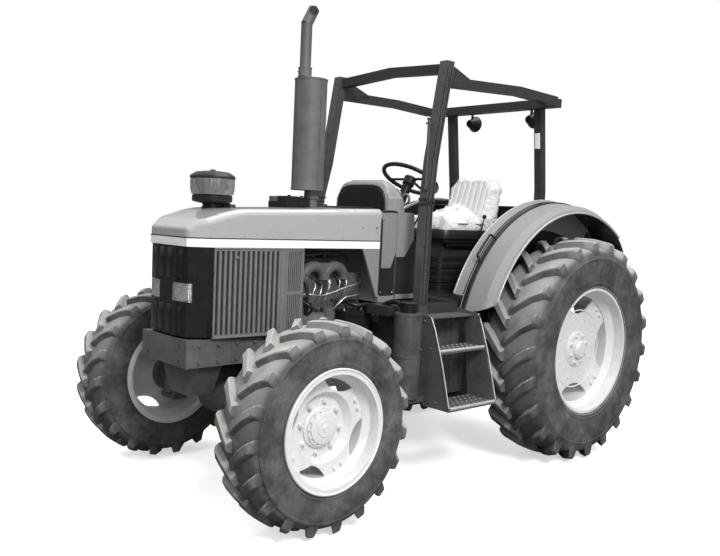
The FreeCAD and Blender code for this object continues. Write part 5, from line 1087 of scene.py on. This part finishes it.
def step_trim():
    """Raised rings on each tread with a near-black disc of painted shade inside each, where the tread is pierced, a bar
    along its edge, bolts on the side plates, and a ribbed black plate of painted shade behind each tank.
    """
    grip = turned([(0.006, 0), (0.0065, 0.0035), (0.0095, 0.0035), (0.011, 0)], (0, 0, 0), "z", 12)
    hole_shade = turned([(0, 0.0004), (0.006, 0.0004), (0.006, 0.0), (0, 0.0)], (0, 0, 0), "z", 12)
    for side, sign in SIDES:
        low, high = span(f"steps_{side}")
        form, dark, rods, flap = Form(), Form(), Form(), Form()
        for z, inner, outer, rows in ((0.542, 0.7, 0.9, 4), (0.872, 0.655, 0.795, 3)):
            places = [(x, sign * y, z) for x in np.linspace(low[0] + 0.05, high[0] - 0.05, 9)
                      for y in np.linspace(inner + 0.02, outer - 0.03, rows)]
            form.copies(grip, shifts(places))
            # painted shade: a near-black disc in each ring stands for the shade below the pierced tread
            dark.copies(hole_shade, shifts(places))
            edge_x = np.linspace(low[0] + 0.012, high[0] - 0.012, 3)
            tube(rods, [(x, sign * (outer + 0.001), z - 0.004) for x in edge_x], 0.0095)
        for x, out in ((low[0] - 0.0005, "-x"), (high[0] + 0.0005, "x")):
            edge = [(0.725, 1.068), (0.76, 1.0), (0.83, 0.8), (0.9, 0.545)]
            carried(rods, [(x, sign * (y + 0.003), z) for y, z in edge], circle(0.0045))
            heads = ((0.6, 1.06), (0.68, 1.04), (0.73, 0.88), (0.8, 0.56), (0.66, 0.86))
            bolts(form, [(x, sign * y, z) for y, z in heads], out, 0.007, 0.006)
        # painted shade: a ribbed black plate inboard of each tank darkens the gap where shade falls under the floor
        block(flap, at(-1.66, sign * 0.468, 0.44), at(-1.37, sign * 0.475, 1.11))
        for x in (-1.65, -1.515, -1.38):
            block(flap, at(x - 0.008, sign * 0.474, 0.44), at(x + 0.008, sign * 0.481, 1.11))
        trim("black_plastic", f"splash_flap_{side}", flap, bevel=0.002)
        trim("rod_steel", f"step_rods_{side}", rods, smooth=50)
        trim("tread_steel", f"step_treads_{side}", form, smooth=50)
        trim("dark_gap", f"step_holes_{side}", dark)


def tank_trim():
    """Ribbed neck and cap of the side canister, straps and ribs of the tanks, the floor's ribbed mat and pedals."""
    neck, can, ribs = Form(), Form(), Form()
    centre = at(-0.802, 0.676, 0)
    for z in 1.098 + 0.0095 * np.arange(5):
        ring(neck, [(0.046, z), (0.0525, z + 0.0025), (0.0525, z + 0.006), (0.046, z + 0.0085)], centre, "z", 36)
    lathe(neck, [(0.05, 1.146), (0.054, 1.15), (0.054, 1.159), (0.048, 1.163)], centre, "z", 36)
    lathe(can, [(0.0835, 1.084), (0.0845, 1.088), (0.082, 1.097), (0.06, 1.1)], centre, "z", 48)
    band(can, (0.62, 0.84), 0.0835, 0.0855, 0.008, 0.002, centre, 48)
    tube(neck, at((-0.802, 0.63, 1.13), (-0.81, 0.56, 1.15), (-0.83, 0.47, 1.13), (-0.85, 0.36, 1.08)), 0.016)
    for side, sign in SIDES:
        low, high = span(f"fuel_tank_{side}")
        y = high[1] if sign > 0 else low[1]
        for x in (low[0] + 0.12, high[0] - 0.12):
            block(can, (x - 0.02, y - sign * 0.001, low[2] + 0.002), (x + 0.02, y + sign * 0.003, high[2] - 0.002))
        for z in np.linspace(low[2] + 0.1, high[2] - 0.1, 4):
            block(can, (low[0] + 0.16, y - sign * 0.001, z - 0.006), (high[0] - 0.16, y + sign * 0.004, z + 0.006))
    for x in np.arange(AXLE - 1.38, AXLE - 1.03, 0.024):
        block(ribs, (x, -0.5, 1.119), (x + 0.012, 0.5, 1.1235))
    for y in (0.49, -0.49):
        block(ribs, at(-1.39, y - 0.012, 1.119), at(-1.02, y + 0.012, 1.125))
    for y in (0.16, -0.14, -0.21):
        block(ribs, at(-1.244, y - 0.028, 1.2), at(-1.236, y + 0.028, 1.27))
        tube(ribs, at((-1.236, y, 1.235), (-1.18, y, 1.22), (-1.12, y, 1.16), (-1.1, y, 1.12)), 0.008)
    trim("black_plastic", "canister_neck", neck, smooth=50)
    trim("tank_plastic", "tank_trim", can)
    trim("black_plastic", "floor_mat", ribs)


# ---- seat ----
def coords(mesh, field="co"):
    """A vector of every point of a mesh as rows."""
    flat = np.zeros(len(mesh.vertices) * 3)
    mesh.vertices.foreach_get(field, flat)
    return flat.reshape(-1, 3)


def set_coords(mesh, points):
    """Puts every point of a mesh at its row of points."""
    mesh.vertices.foreach_set("co", np.ascontiguousarray(points, float).ravel())
    mesh.update()


def baked(obj):
    """Applies every modifier on obj to its mesh."""
    bpy.context.view_layer.update()
    done = bpy.data.meshes.new_from_object(obj.evaluated_get(bpy.context.evaluated_depsgraph_get()))
    obj.modifiers.clear()
    obj.data = done


def folds(points, count, size, reach, seed):
    """Crumples: the sum of count ridges |sin| at seeded angles and pitches, each fading along its own line."""
    rng = np.random.default_rng(seed)
    total = np.zeros(len(points))
    for _ in range(count):
        turn, phase = rng.uniform(0, 2 * math.pi, 2)
        pitch = rng.uniform(0.5, 1.0) * reach
        along = points[:, 0] * math.cos(turn) + points[:, 1] * math.sin(turn) + points[:, 2] * rng.uniform(-0.6, 0.6)
        across = points[:, 1] * math.cos(turn) - points[:, 0] * math.sin(turn)
        ridge = 1 - np.abs(np.sin(math.pi * along / pitch + phase + 0.6 * np.sin(across * 9 + phase)))
        total += size * rng.uniform(0.5, 1.0) * ridge ** 3 * (0.5 + 0.5 * np.sin(across * rng.uniform(5, 11) + phase))
    return total


CLOTH_STEPS, CLOTH_PRESSURE = 20, 4.0
SWELLING = 0.022
VOXEL, QUICK_VOXEL = 0.006, 0.009


def pad(node, name, shrink, depth):
    """A padded piece: the CAD solid remeshed, blown up as cloth with its swelling capped, then creased by depth."""
    mesh = frame["nodes"][node].data.copy()
    mesh.name = name
    obj = bpy.data.objects.new(name, mesh)
    bpy.context.scene.collection.objects.link(obj)
    work = bmesh.new()
    work.from_mesh(mesh)
    bmesh.ops.remove_doubles(work, verts=work.verts, dist=1e-5)
    work.to_mesh(mesh)
    work.free()
    low, high = span(node)
    centre = (low + high) / 2
    mesh.transform(Matrix.Translation(centre) @ Matrix.Diagonal((*shrink, 1.0)) @ Matrix.Translation(-centre))
    remesh = obj.modifiers.new("even", "REMESH")
    remesh.mode, remesh.voxel_size = "VOXEL", VOXEL
    soften = obj.modifiers.new("soften", "SMOOTH")
    soften.factor, soften.iterations = 0.5, 14
    baked(obj)
    points = coords(obj.data)
    cloth = obj.modifiers.new("cloth", "CLOTH").settings
    cloth.use_pressure, cloth.uniform_pressure_force = True, CLOTH_PRESSURE
    cloth.effector_weights.gravity = 0.0
    cloth.quality = 4
    for step in range(1, CLOTH_STEPS + 1):
        bpy.context.scene.frame_set(step)
    baked(obj)
    bpy.context.scene.frame_set(1)
    moved = coords(obj.data) - points
    reach = np.linalg.norm(moved, axis=1, keepdims=True)
    points = points + moved * np.minimum(1.0, SWELLING / np.maximum(reach, 1e-9))
    points = np.clip(points, low - 0.012, high + 0.012)
    set_coords(obj.data, points)
    normals = coords(obj.data, "normal")
    set_coords(obj.data, points + normals * depth(points, normals)[:, None])
    obj.data.polygons.foreach_set("use_smooth", np.ones(len(obj.data.polygons), bool))
    fine = obj.modifiers.new("smooth", "SUBSURF")
    fine.levels = fine.render_levels = 1
    obj.data.materials.clear()
    obj.data.materials.append(finish("soft_cover"))
    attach(obj, "chassis")
    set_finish(obj, "soft_cover")
    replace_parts(obj, node)


FILM_LENGTH, FILM_THICK, HEAP = 0.9, 0.0015, 0.075


def cover_film(low, high):
    """A loose crumpled cover on the cushion: a grid whose height is a heap, a Gaussian, plus sharp seeded folds.

    The rim falls by the sixth power of the distance to the edge, and the underside follows below.
    """
    u, v = np.meshgrid(np.linspace(-1, 1, 74), np.linspace(-1, 1, 78), indexing="ij")
    flat = np.stack([u * 0.2 + v * 0.03, v * 0.22 - u * 0.02, 0 * u], -1).reshape(-1, 3)
    wave = (folds(flat, 10, 0.012, 0.12, 5) + folds(flat, 12, 0.007, 0.06, 31)).reshape(u.shape)
    heap = np.exp(-((u + 0.45) ** 2 / 0.35 + (v - 0.2) ** 2 / 0.5))
    edge = np.maximum(np.abs(u), np.abs(v)) ** 6
    height = 0.008 + (0.4 + heap) * wave + HEAP * heap
    x = (low[0] + high[0]) / 2 - 0.005 + u * (0.205 + 0.02 * np.sin(5 * v + 1)) + 0.3 * wave
    y = 0.01 + v * (0.222 + 0.012 * np.sin(6 * u)) + 0.25 * wave * np.cos(4 * u)
    over = np.stack([x, y, high[2] + 0.004 + height * (1 - edge) - 0.035 * edge], -1)
    film = trim("soft_cover", "seat_film", sheet(Form(), over, over - (0, 0, FILM_THICK)), smooth=60)


def collar(form, low, high, margin, radius, z, rows):
    """A closed band round the space between low and high: rows scale its outline and set its height from z."""
    centre = (low + high) / 2
    line = round_rect(high[0] - low[0] + 2 * margin, high[1] - low[1] + 2 * margin, radius)
    form.grid([np.stack([centre[0] + line[:, 0] * size, centre[1] + line[:, 1] * size, 0 * line[:, 0] + z + rise], -1)
               for size, rise in rows], wrap_rows=True, wrap_cols=True)


def seat():
    """Back with sewn upright channels; cushion with a crumpled cover; bellows, skirt, slides, lever and belt."""
    back_low, back_high = span("seat_back")
    low, high = span("seat_cushion")

    def channels(p, n):
        """Grooves every 52 mm across the back's front, fading at its edges, under folds."""
        front = np.clip(n[:, 0] * 1.4, 0, 1) * np.clip((0.2 - np.abs(p[:, 1])) / 0.02, 0, 1)
        below, above = p[:, 2] - back_low[2] - 0.05, back_high[2] - 0.035 - p[:, 2]
        inside = np.clip(below / 0.03, 0, 1) * np.clip(above / 0.02, 0, 1)
        groove = -0.008 * front * inside * np.abs(np.cos(math.pi * p[:, 1] / 0.052)) ** 14
        return groove + folds(p, 9, 0.0022, 0.12, 3)

    pad("seat_back", "back_cover", (0.94, 0.96, 0.985), channels)
    pad("seat_cushion", "cushion_cover", (0.97, 0.96, 0.9), lambda p, n: folds(p, 12, 0.003, 0.14, 8))
    cover_film(low, high)
    dark, steel, skirt = Form(), Form(), Form()
    base_low, base_high = span("seat_base")
    for k in range(5):
        collar(dark, base_low, base_high, 0.006 * (1 + k % 2), 0.04, base_low[2] + 0.05 + 0.05 * k,
               ((0.9, -0.022), (1.0, -0.014), (1.0, 0.014), (0.9, 0.022)))
    block(dark, (low[0] + 0.02, -0.225, low[2] - 0.035), (high[0] - 0.02, 0.225, low[2] + 0.004))
    collar(skirt, low, high, 0.006, 0.05, low[2],
           ((0.9, -0.012), (0.985, -0.008), (1.0, 0.01), (1.0, 0.045), (0.985, 0.055), (0.9, 0.057)))
    trim("seat_vinyl", "seat_skirt", skirt, smooth=50)
    for y in (-0.2, 0.2):
        block(steel, (low[0] + 0.06, y - 0.012, low[2] - 0.06), (high[0] - 0.06, y + 0.012, low[2] - 0.034))
    block(dark, (back_low[0] - 0.006, -0.16, back_low[2] + 0.06), (back_low[0] + 0.02, 0.16, back_low[2] + 0.3))
    lever = (low[0], 0, low[2]) + np.array([(0.13, 0.262, -0.01), (0.12, 0.268, 0.07), (0.1, 0.27, 0.15)])
    tube(steel, lever, 0.0055)
    lathe(dark, [(0.008, 0), (0.014, 0.008), (0.015, 0.022), (0.008, 0.03)], lever[-1] - (0, 0, 0.008), "z", 16)
    for y in (-0.255, 0.255):
        belt = np.array([(0.1, y * 0.98, -0.02), (0.105, y, 0.06), (0.12, y * 0.97, 0.13)]) + (back_low[0], 0, low[2])
        carried(dark, smooth_path(belt), round_rect(0.045, 0.004, 0.001), up=(0, 1, 0))
    trim("black_plastic", "seat_bellows", dark, smooth=40)
    trim("black_plastic", "seat_slides", steel, smooth=50)


# ---- axles and rear ----
def axle_trim():
    """Flange bolts, kingpin caps, hoses and bolster bolts at the front; couplers and their guard at the rear."""
    iron, hose, steel = Form(), Form(), Form()
    for side, sign in SIDES:
        caps = Form()
        bolts(caps, around((AXLE, sign * 0.7, FRONT_HUB_Z), 0.1, 10, 18), OUTWARD[-sign], 0.008, 0.009)
        dress(caps, f"knuckle_bolts_{side}", f"knuckle_{side}", "chassis_paint")
        for rise, out in ((-0.153, "-z"), (0.153, "z")):
            bolts(iron, around((AXLE, sign * 0.68, FRONT_HUB_Z + rise), 0.032, 4, 45, "z"), out, 0.006, 0.006)
        tube(hose, at((0.13, 0.2, 0.66), (0.02, 0.17, 0.72), (-0.1, 0.15, 0.7), (-0.15, 0.17, 0.643)) * (1, sign, 1),
             0.008)
    low, high = span("front_bolster")
    for y in (-0.17, 0.17):
        for z in (0.831, 0.921):
            ring(iron, [(0.0095, 0), (0.017, 0), (0.017, 0.003), (0.0095, 0.003)], (high[0], y, z), "x", 20)
    for _, sign in SIDES:
        heads = [(x, sign * high[1], z) for x in np.linspace(low[0] + 0.08, high[0] - 0.08, 5) for z in (0.83, 0.92)]
        bolts(iron, heads, OUTWARD[sign], 0.012, 0.01)
    block(iron, (high[0] - 0.3, high[1] - 0.001, 0.81), (high[0] - 0.29, high[1] + 0.003, 0.945))
    for _, sign in SIDES:
        bolts(iron, around((REAR, sign * 0.594, 0.784), 0.138, 10), OUTWARD[sign], 0.01, 0.01)
        for z in (1.02, 0.97):
            lathe(steel, [(0.019, 0), (0.019, -0.02), (0.016, -0.022), (0.016, -0.045), (0.01, -0.05)],
                  at(-2.64, sign * 0.13, z), "x", 20)
    ring(steel, [(0.017, 0), (0.0175, -0.09), (0.012, -0.095), (0.012, 0)], at(-2.64, 0, 0.62), "x", 24)
    t = np.linspace(-0.4, math.pi + 0.4, 16)
    iron.grid([np.stack([0 * t + AXLE - 2.64 - back, r * np.cos(t), 0.62 + r * np.sin(t)], -1)
               for back, r in ((0.0, 0.1), (0.13, 0.12), (0.13, 0.117), (0.0, 0.097))], wrap_rows=True)
    trim("chassis_paint", "casting_trim", iron)
    trim("black_plastic", "steering_hoses", hose, smooth=50)
    trim("bright_steel", "rear_couplers", steel)


def hitch_trim():
    """Raised rings along each lift rod's sleeve."""
    for side, _ in SIDES:
        low, high = span(f"lift_rod_{side}")
        form, centre = Form(), (low + high) / 2 * (1, 1, 0)
        band(form, np.linspace(low[2] + 0.16, high[2] - 0.16, 5), 0.0172, 0.0215, 0.006, 0.003, centre, 20)
        dress(form, f"lift_rod_rings_{side}", f"lift_rod_{side}", "chassis_paint")


# ---- stage ----
# The soft lamps: name, place, diameter and power.
LAMPS = (("key", (3.4, 7.0, 6.6), 2.4, 620.0), ("top", (-1.5, 0.5, 8.0), 5.0, 240.0),
         ("side", (4.0, 8.0, 2.6), 4.0, 130.0))


def make_floor():
    """A flat pale floor, 1 mm under the wheels; it belongs to the stage and to no body."""
    across = np.linspace(-40, 40, 9)
    u, v = np.meshgrid(across, across, indexing="ij")
    floor = Form().grid(np.stack([u, v, 0 * u - 0.001], -1)).piece("floor", "chassis", "floor")
    floor.parent = None
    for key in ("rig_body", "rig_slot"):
        del floor[key]


def make_lights():
    """A sky that is white to the camera and brighter towards its top for the tractor, and three soft round lamps."""
    scene = bpy.context.scene
    scene.view_settings.view_transform = "Standard"
    scene.world = scene.world or bpy.data.worlds.new("World")
    scene.world.use_nodes = True
    scene.world.node_tree.nodes.clear()
    tree = Tree(scene.world.node_tree)
    height = tree.split(tree.node("ShaderNodeTexCoord").outputs["Generated"])["Z"]
    glow = tree.ranged(height, 0.02, 0.85, 0.1, 1.25)
    seen = tree.node("ShaderNodeLightPath").outputs["Is Camera Ray"]
    sky = tree.filled("ShaderNodeBackground", {"Color": tree.mix(seen, glow, WHITE)})
    tree.filled("ShaderNodeOutputWorld", {"Surface": sky.outputs[0]})
    for name, place, size, power in LAMPS:
        data = bpy.data.lights.new(name, "AREA")
        data.shape, data.size, data.energy = "DISK", size, power
        lamp = bpy.data.objects.new(name, data)
        lamp.rotation_euler = Matrix(turned_to(np.array((0.0, 0.0, 1.1)) - place)).to_euler()
        lamp.location = place
        scene.collection.objects.link(lamp)


def turned_to(aim):
    """A turn whose -Z looks along aim with +Y up."""
    back = -aim / np.linalg.norm(aim)
    side = np.cross((0.0, 0.0, 1.0), back)
    side /= np.linalg.norm(side)
    return np.stack([side, np.cross(back, side), back], 1)


def make_camera():
    """The camera's place, turn and lens; yaw, pitch and roll give its three axes."""
    yaw, pitch, roll = -2.2790207, -0.1036490, 0.0425001
    ahead = np.array((math.cos(pitch) * math.cos(yaw), math.cos(pitch) * math.sin(yaw), math.sin(pitch)))
    side, up, _ = turned_to(ahead).T
    right, top = side * math.cos(roll) + up * math.sin(roll), up * math.cos(roll) - side * math.sin(roll)
    data = bpy.data.cameras.new("camera")
    data.sensor_width, data.lens, data.shift_x, data.shift_y = 36.0, 39.564, 0.0542, 0.02315
    data.clip_end = 200.0
    camera = bpy.data.objects.new("camera", data)
    turn = Matrix(np.stack([right, top, -ahead], 1)).to_4x4()
    camera.matrix_world = Matrix.Translation(at(2.6330158, 3.8808541, 1.6692427)) @ turn
    bpy.context.scene.collection.objects.link(camera)
    bpy.context.scene.camera = camera


# The frame parts whose finish is a finer kind of their slot; the fenders and cowl take a darker copy of the body paint
# as painted shade, the front posts a lighter copy of the frame paint as painted light.
FINER = {"exhaust_stack": "muffler_paint", "steps_left": "step_steel", "steps_right": "step_steel",
         "fender_left": "fender_paint", "fender_right": "fender_paint", "cowl": "fender_paint",
         "rops_front_post_left": "post_paint", "rops_front_post_right": "post_paint"}


def paint_frame():
    """Each CAD node gets the finish of its own slot, or the finer one named above: painted shade on the fenders and
    cowl, painted light on the front posts.
    """
    for part in frame["record"]["subparts"]:
        node = frame["nodes"][part["node"]]
        node.data.materials.clear()
        node.data.materials.append(finish(FINER.get(part["node"], part["material_slot"])))


# ---- sizes and colours ----
def length(name, description, default):
    """A size in metres that the user may change."""
    return bpy.props.FloatProperty(name=name, description=description, default=default, unit="LENGTH")


class TractorSizes(bpy.types.PropertyGroup):
    """Sizes of the pieces that dress the frame."""

    front_lug_height: length("Front Lug Height", "How far the front tyres' bars stand up", 0.036)
    front_lug_width: length("Front Lug Width", "Width of a front bar across its top", 0.046)
    front_lug_lead: length("Front Lug Lead", "How far a front bar's middle end runs ahead", 0.128)
    rear_lug_height: length("Rear Lug Height", "How far the rear tyres' bars stand up", 0.046)
    rear_lug_width: length("Rear Lug Width", "Width of a rear bar across its top", 0.058)
    rear_lug_lead: length("Rear Lug Lead", "How far a rear bar's middle end runs ahead", 0.17)


def tone(name, description, value):
    """A colour that the user may change: a grey with a hundredth more blue."""
    return bpy.props.FloatVectorProperty(name=name, description=description, default=(value, value, value * 1.01),
                                         subtype="COLOR", size=3, min=0.0, max=1.0)


class TractorColours(bpy.types.PropertyGroup):
    """Base colours of the finishes."""

    body: tone("Body Paint", "Hood, fenders and cowl", 0.37)
    band: tone("Band Paint", "The light band along the hood", 0.88)
    roll_frame: tone("Roll Frame", "Roll-over frame, platform and brackets", 0.028)
    chassis: tone("Chassis Paint", "Castings of the axles, engine and gearbox", 0.085)
    wheels: tone("Wheel Paint", "Rims and discs", 0.70)
    rubber: tone("Rubber", "Tyres", 0.045)
    grille: tone("Grille Metal", "Side panels' ribs", 0.15)
    nose: tone("Nose Plastic", "The dark front panel", 0.006)
    cover: tone("Seat Cover", "The light cover over the seat", 0.6)
    dash: tone("Dash Plastic", "The instrument pod", 0.26)
    exhaust: tone("Exhaust Paint", "Muffler and pipes", 0.085)


class StageOperator(bpy.types.Operator):
    """Add the floor, the lamps and the camera"""

    bl_idname = "tractor.stage"
    bl_label = "Stage"
    def execute(self, context):
        make_floor()
        make_lights()
        make_camera()
        return {"FINISHED"}


class PaintOperator(bpy.types.Operator):
    """Give each frame part its finish"""

    bl_idname = "tractor.paint"
    bl_label = "Frame Finishes"
    def execute(self, context):
        paint_frame()
        return {"FINISHED"}


class TyresOperator(bpy.types.Operator):
    """Make the four lugged tyres"""

    bl_idname = "tractor.tyres"
    bl_label = "Tyres"

    def execute(self, context):
        s = context.scene.tractor_sizes
        for side, _ in SIDES:
            make_tyre("front", side, 19, 0.036, s.front_lug_height, s.front_lug_width, s.front_lug_lead)
            make_tyre("rear", side, 22, 0.048, s.rear_lug_height, s.rear_lug_width, s.rear_lug_lead)
        return {"FINISHED"}


class WheelsOperator(bpy.types.Operator):
    """Make the nuts, hubs, caps and rim edges of the wheels"""

    bl_idname = "tractor.wheels"
    bl_label = "Wheel Fittings"

    def execute(self, context):
        for end in ("front", "rear"):
            for side, sign in SIDES:
                wheel_fittings(end, side, sign)
        return {"FINISHED"}


class NoseOperator(bpy.types.Operator):
    """Make the nose ribs, the lamps, the painted shade in the side panels' grooves and their rims"""

    bl_idname = "tractor.nose"
    bl_label = "Nose and Grilles"
    def execute(self, context):
        nose_trim()
        lamp_trim()
        grille_trim()
        return {"FINISHED"}


class HoodOperator(bpy.types.Operator):
    """Make the hood's joint, seal, screws and rail"""

    bl_idname = "tractor.hood"
    bl_label = "Hood Trim"
    def execute(self, context):
        hood_trim()
        return {"FINISHED"}


class StackOperator(bpy.types.Operator):
    """Make the muffler's base and clamps and the air pre-cleaner"""

    bl_idname = "tractor.stack"
    bl_label = "Stack and Pre-cleaner"
    def execute(self, context):
        stack_trim()
        pre_cleaner()
        return {"FINISHED"}


class EngineOperator(bpy.types.Operator):
    """Make the engine's pipes, hoses, covers and fan"""

    bl_idname = "tractor.engine"
    bl_label = "Engine Detail"
    def execute(self, context):
        engine_detail()
        return {"FINISHED"}


class RollFrameOperator(bpy.types.Operator):
    """Make the posts' ridges, clamps, plates and lamp glasses"""

    bl_idname = "tractor.roll_frame"
    bl_label = "Roll-over Frame Trim"
    def execute(self, context):
        roll_frame_trim()
        return {"FINISHED"}


class DashOperator(bpy.types.Operator):
    """Make the instrument pod, its dark face, the cowl panels and the wheel's grip"""

    bl_idname = "tractor.dash"
    bl_label = "Dash and Steering Wheel"
    def execute(self, context):
        dash_trim()
        steering_wheel_trim()
        return {"FINISHED"}


class FenderOperator(bpy.types.Operator):
    """Make the fenders' strips, beads, rails, noses, walls and flaps, and the panel behind the seat"""

    bl_idname = "tractor.fender"
    bl_label = "Fender Trim"
    def execute(self, context):
        fender_trim()
        rear_panel()
        return {"FINISHED"}


class StepsOperator(bpy.types.Operator):
    """Make the treads' grips, the black plates of painted shade behind the tanks, the tanks' straps, the canister's
    neck and the floor mat
    """

    bl_idname = "tractor.steps"
    bl_label = "Steps, Tanks and Floor"
    def execute(self, context):
        step_trim()
        tank_trim()
        return {"FINISHED"}


class SeatOperator(bpy.types.Operator):
    """Make the padded back and cushion with their covers, and the seat's frame"""

    bl_idname = "tractor.seat"
    bl_label = "Seat"
    def execute(self, context):
        seat()
        return {"FINISHED"}


class AxlesOperator(bpy.types.Operator):
    """Make the axles' bolts, hoses, couplers and the lift rods' rings"""

    bl_idname = "tractor.axles"
    bl_label = "Axles and Hitch"
    def execute(self, context):
        axle_trim()
        hitch_trim()
        return {"FINISHED"}


STEPS = [StageOperator, PaintOperator, TyresOperator, WheelsOperator, NoseOperator, HoodOperator, StackOperator,
         EngineOperator, RollFrameOperator, DashOperator, FenderOperator, StepsOperator, SeatOperator, AxlesOperator]


class TractorPanel(bpy.types.Panel):
    """Lists the pieces with their sizes and colours"""

    bl_idname = "TRACTOR_PT_panel"
    bl_label = "Tractor"
    bl_space_type = "VIEW_3D"
    bl_region_type = "UI"
    bl_category = "Tractor"

    def draw(self, context):
        for step in STEPS:
            self.layout.operator(step.bl_idname)
        for group in (context.scene.tractor_sizes, context.scene.tractor_colours):
            for name in group.__annotations__:
                self.layout.prop(group, name)


CLASSES = [TractorSizes, TractorColours, *STEPS, TractorPanel]


def register():
    for item in CLASSES:
        bpy.utils.register_class(item)
    bpy.types.Scene.tractor_sizes = bpy.props.PointerProperty(type=TractorSizes)
    bpy.types.Scene.tractor_colours = bpy.props.PointerProperty(type=TractorColours)


def unregister():
    del bpy.types.Scene.tractor_sizes, bpy.types.Scene.tractor_colours
    for item in reversed(CLASSES):
        bpy.utils.unregister_class(item)


def main():
    register()
    for step in STEPS:
        group, name = step.bl_idname.split(".")
        getattr(getattr(bpy.ops, group), name)()


if __name__ == "__main__":
    main()
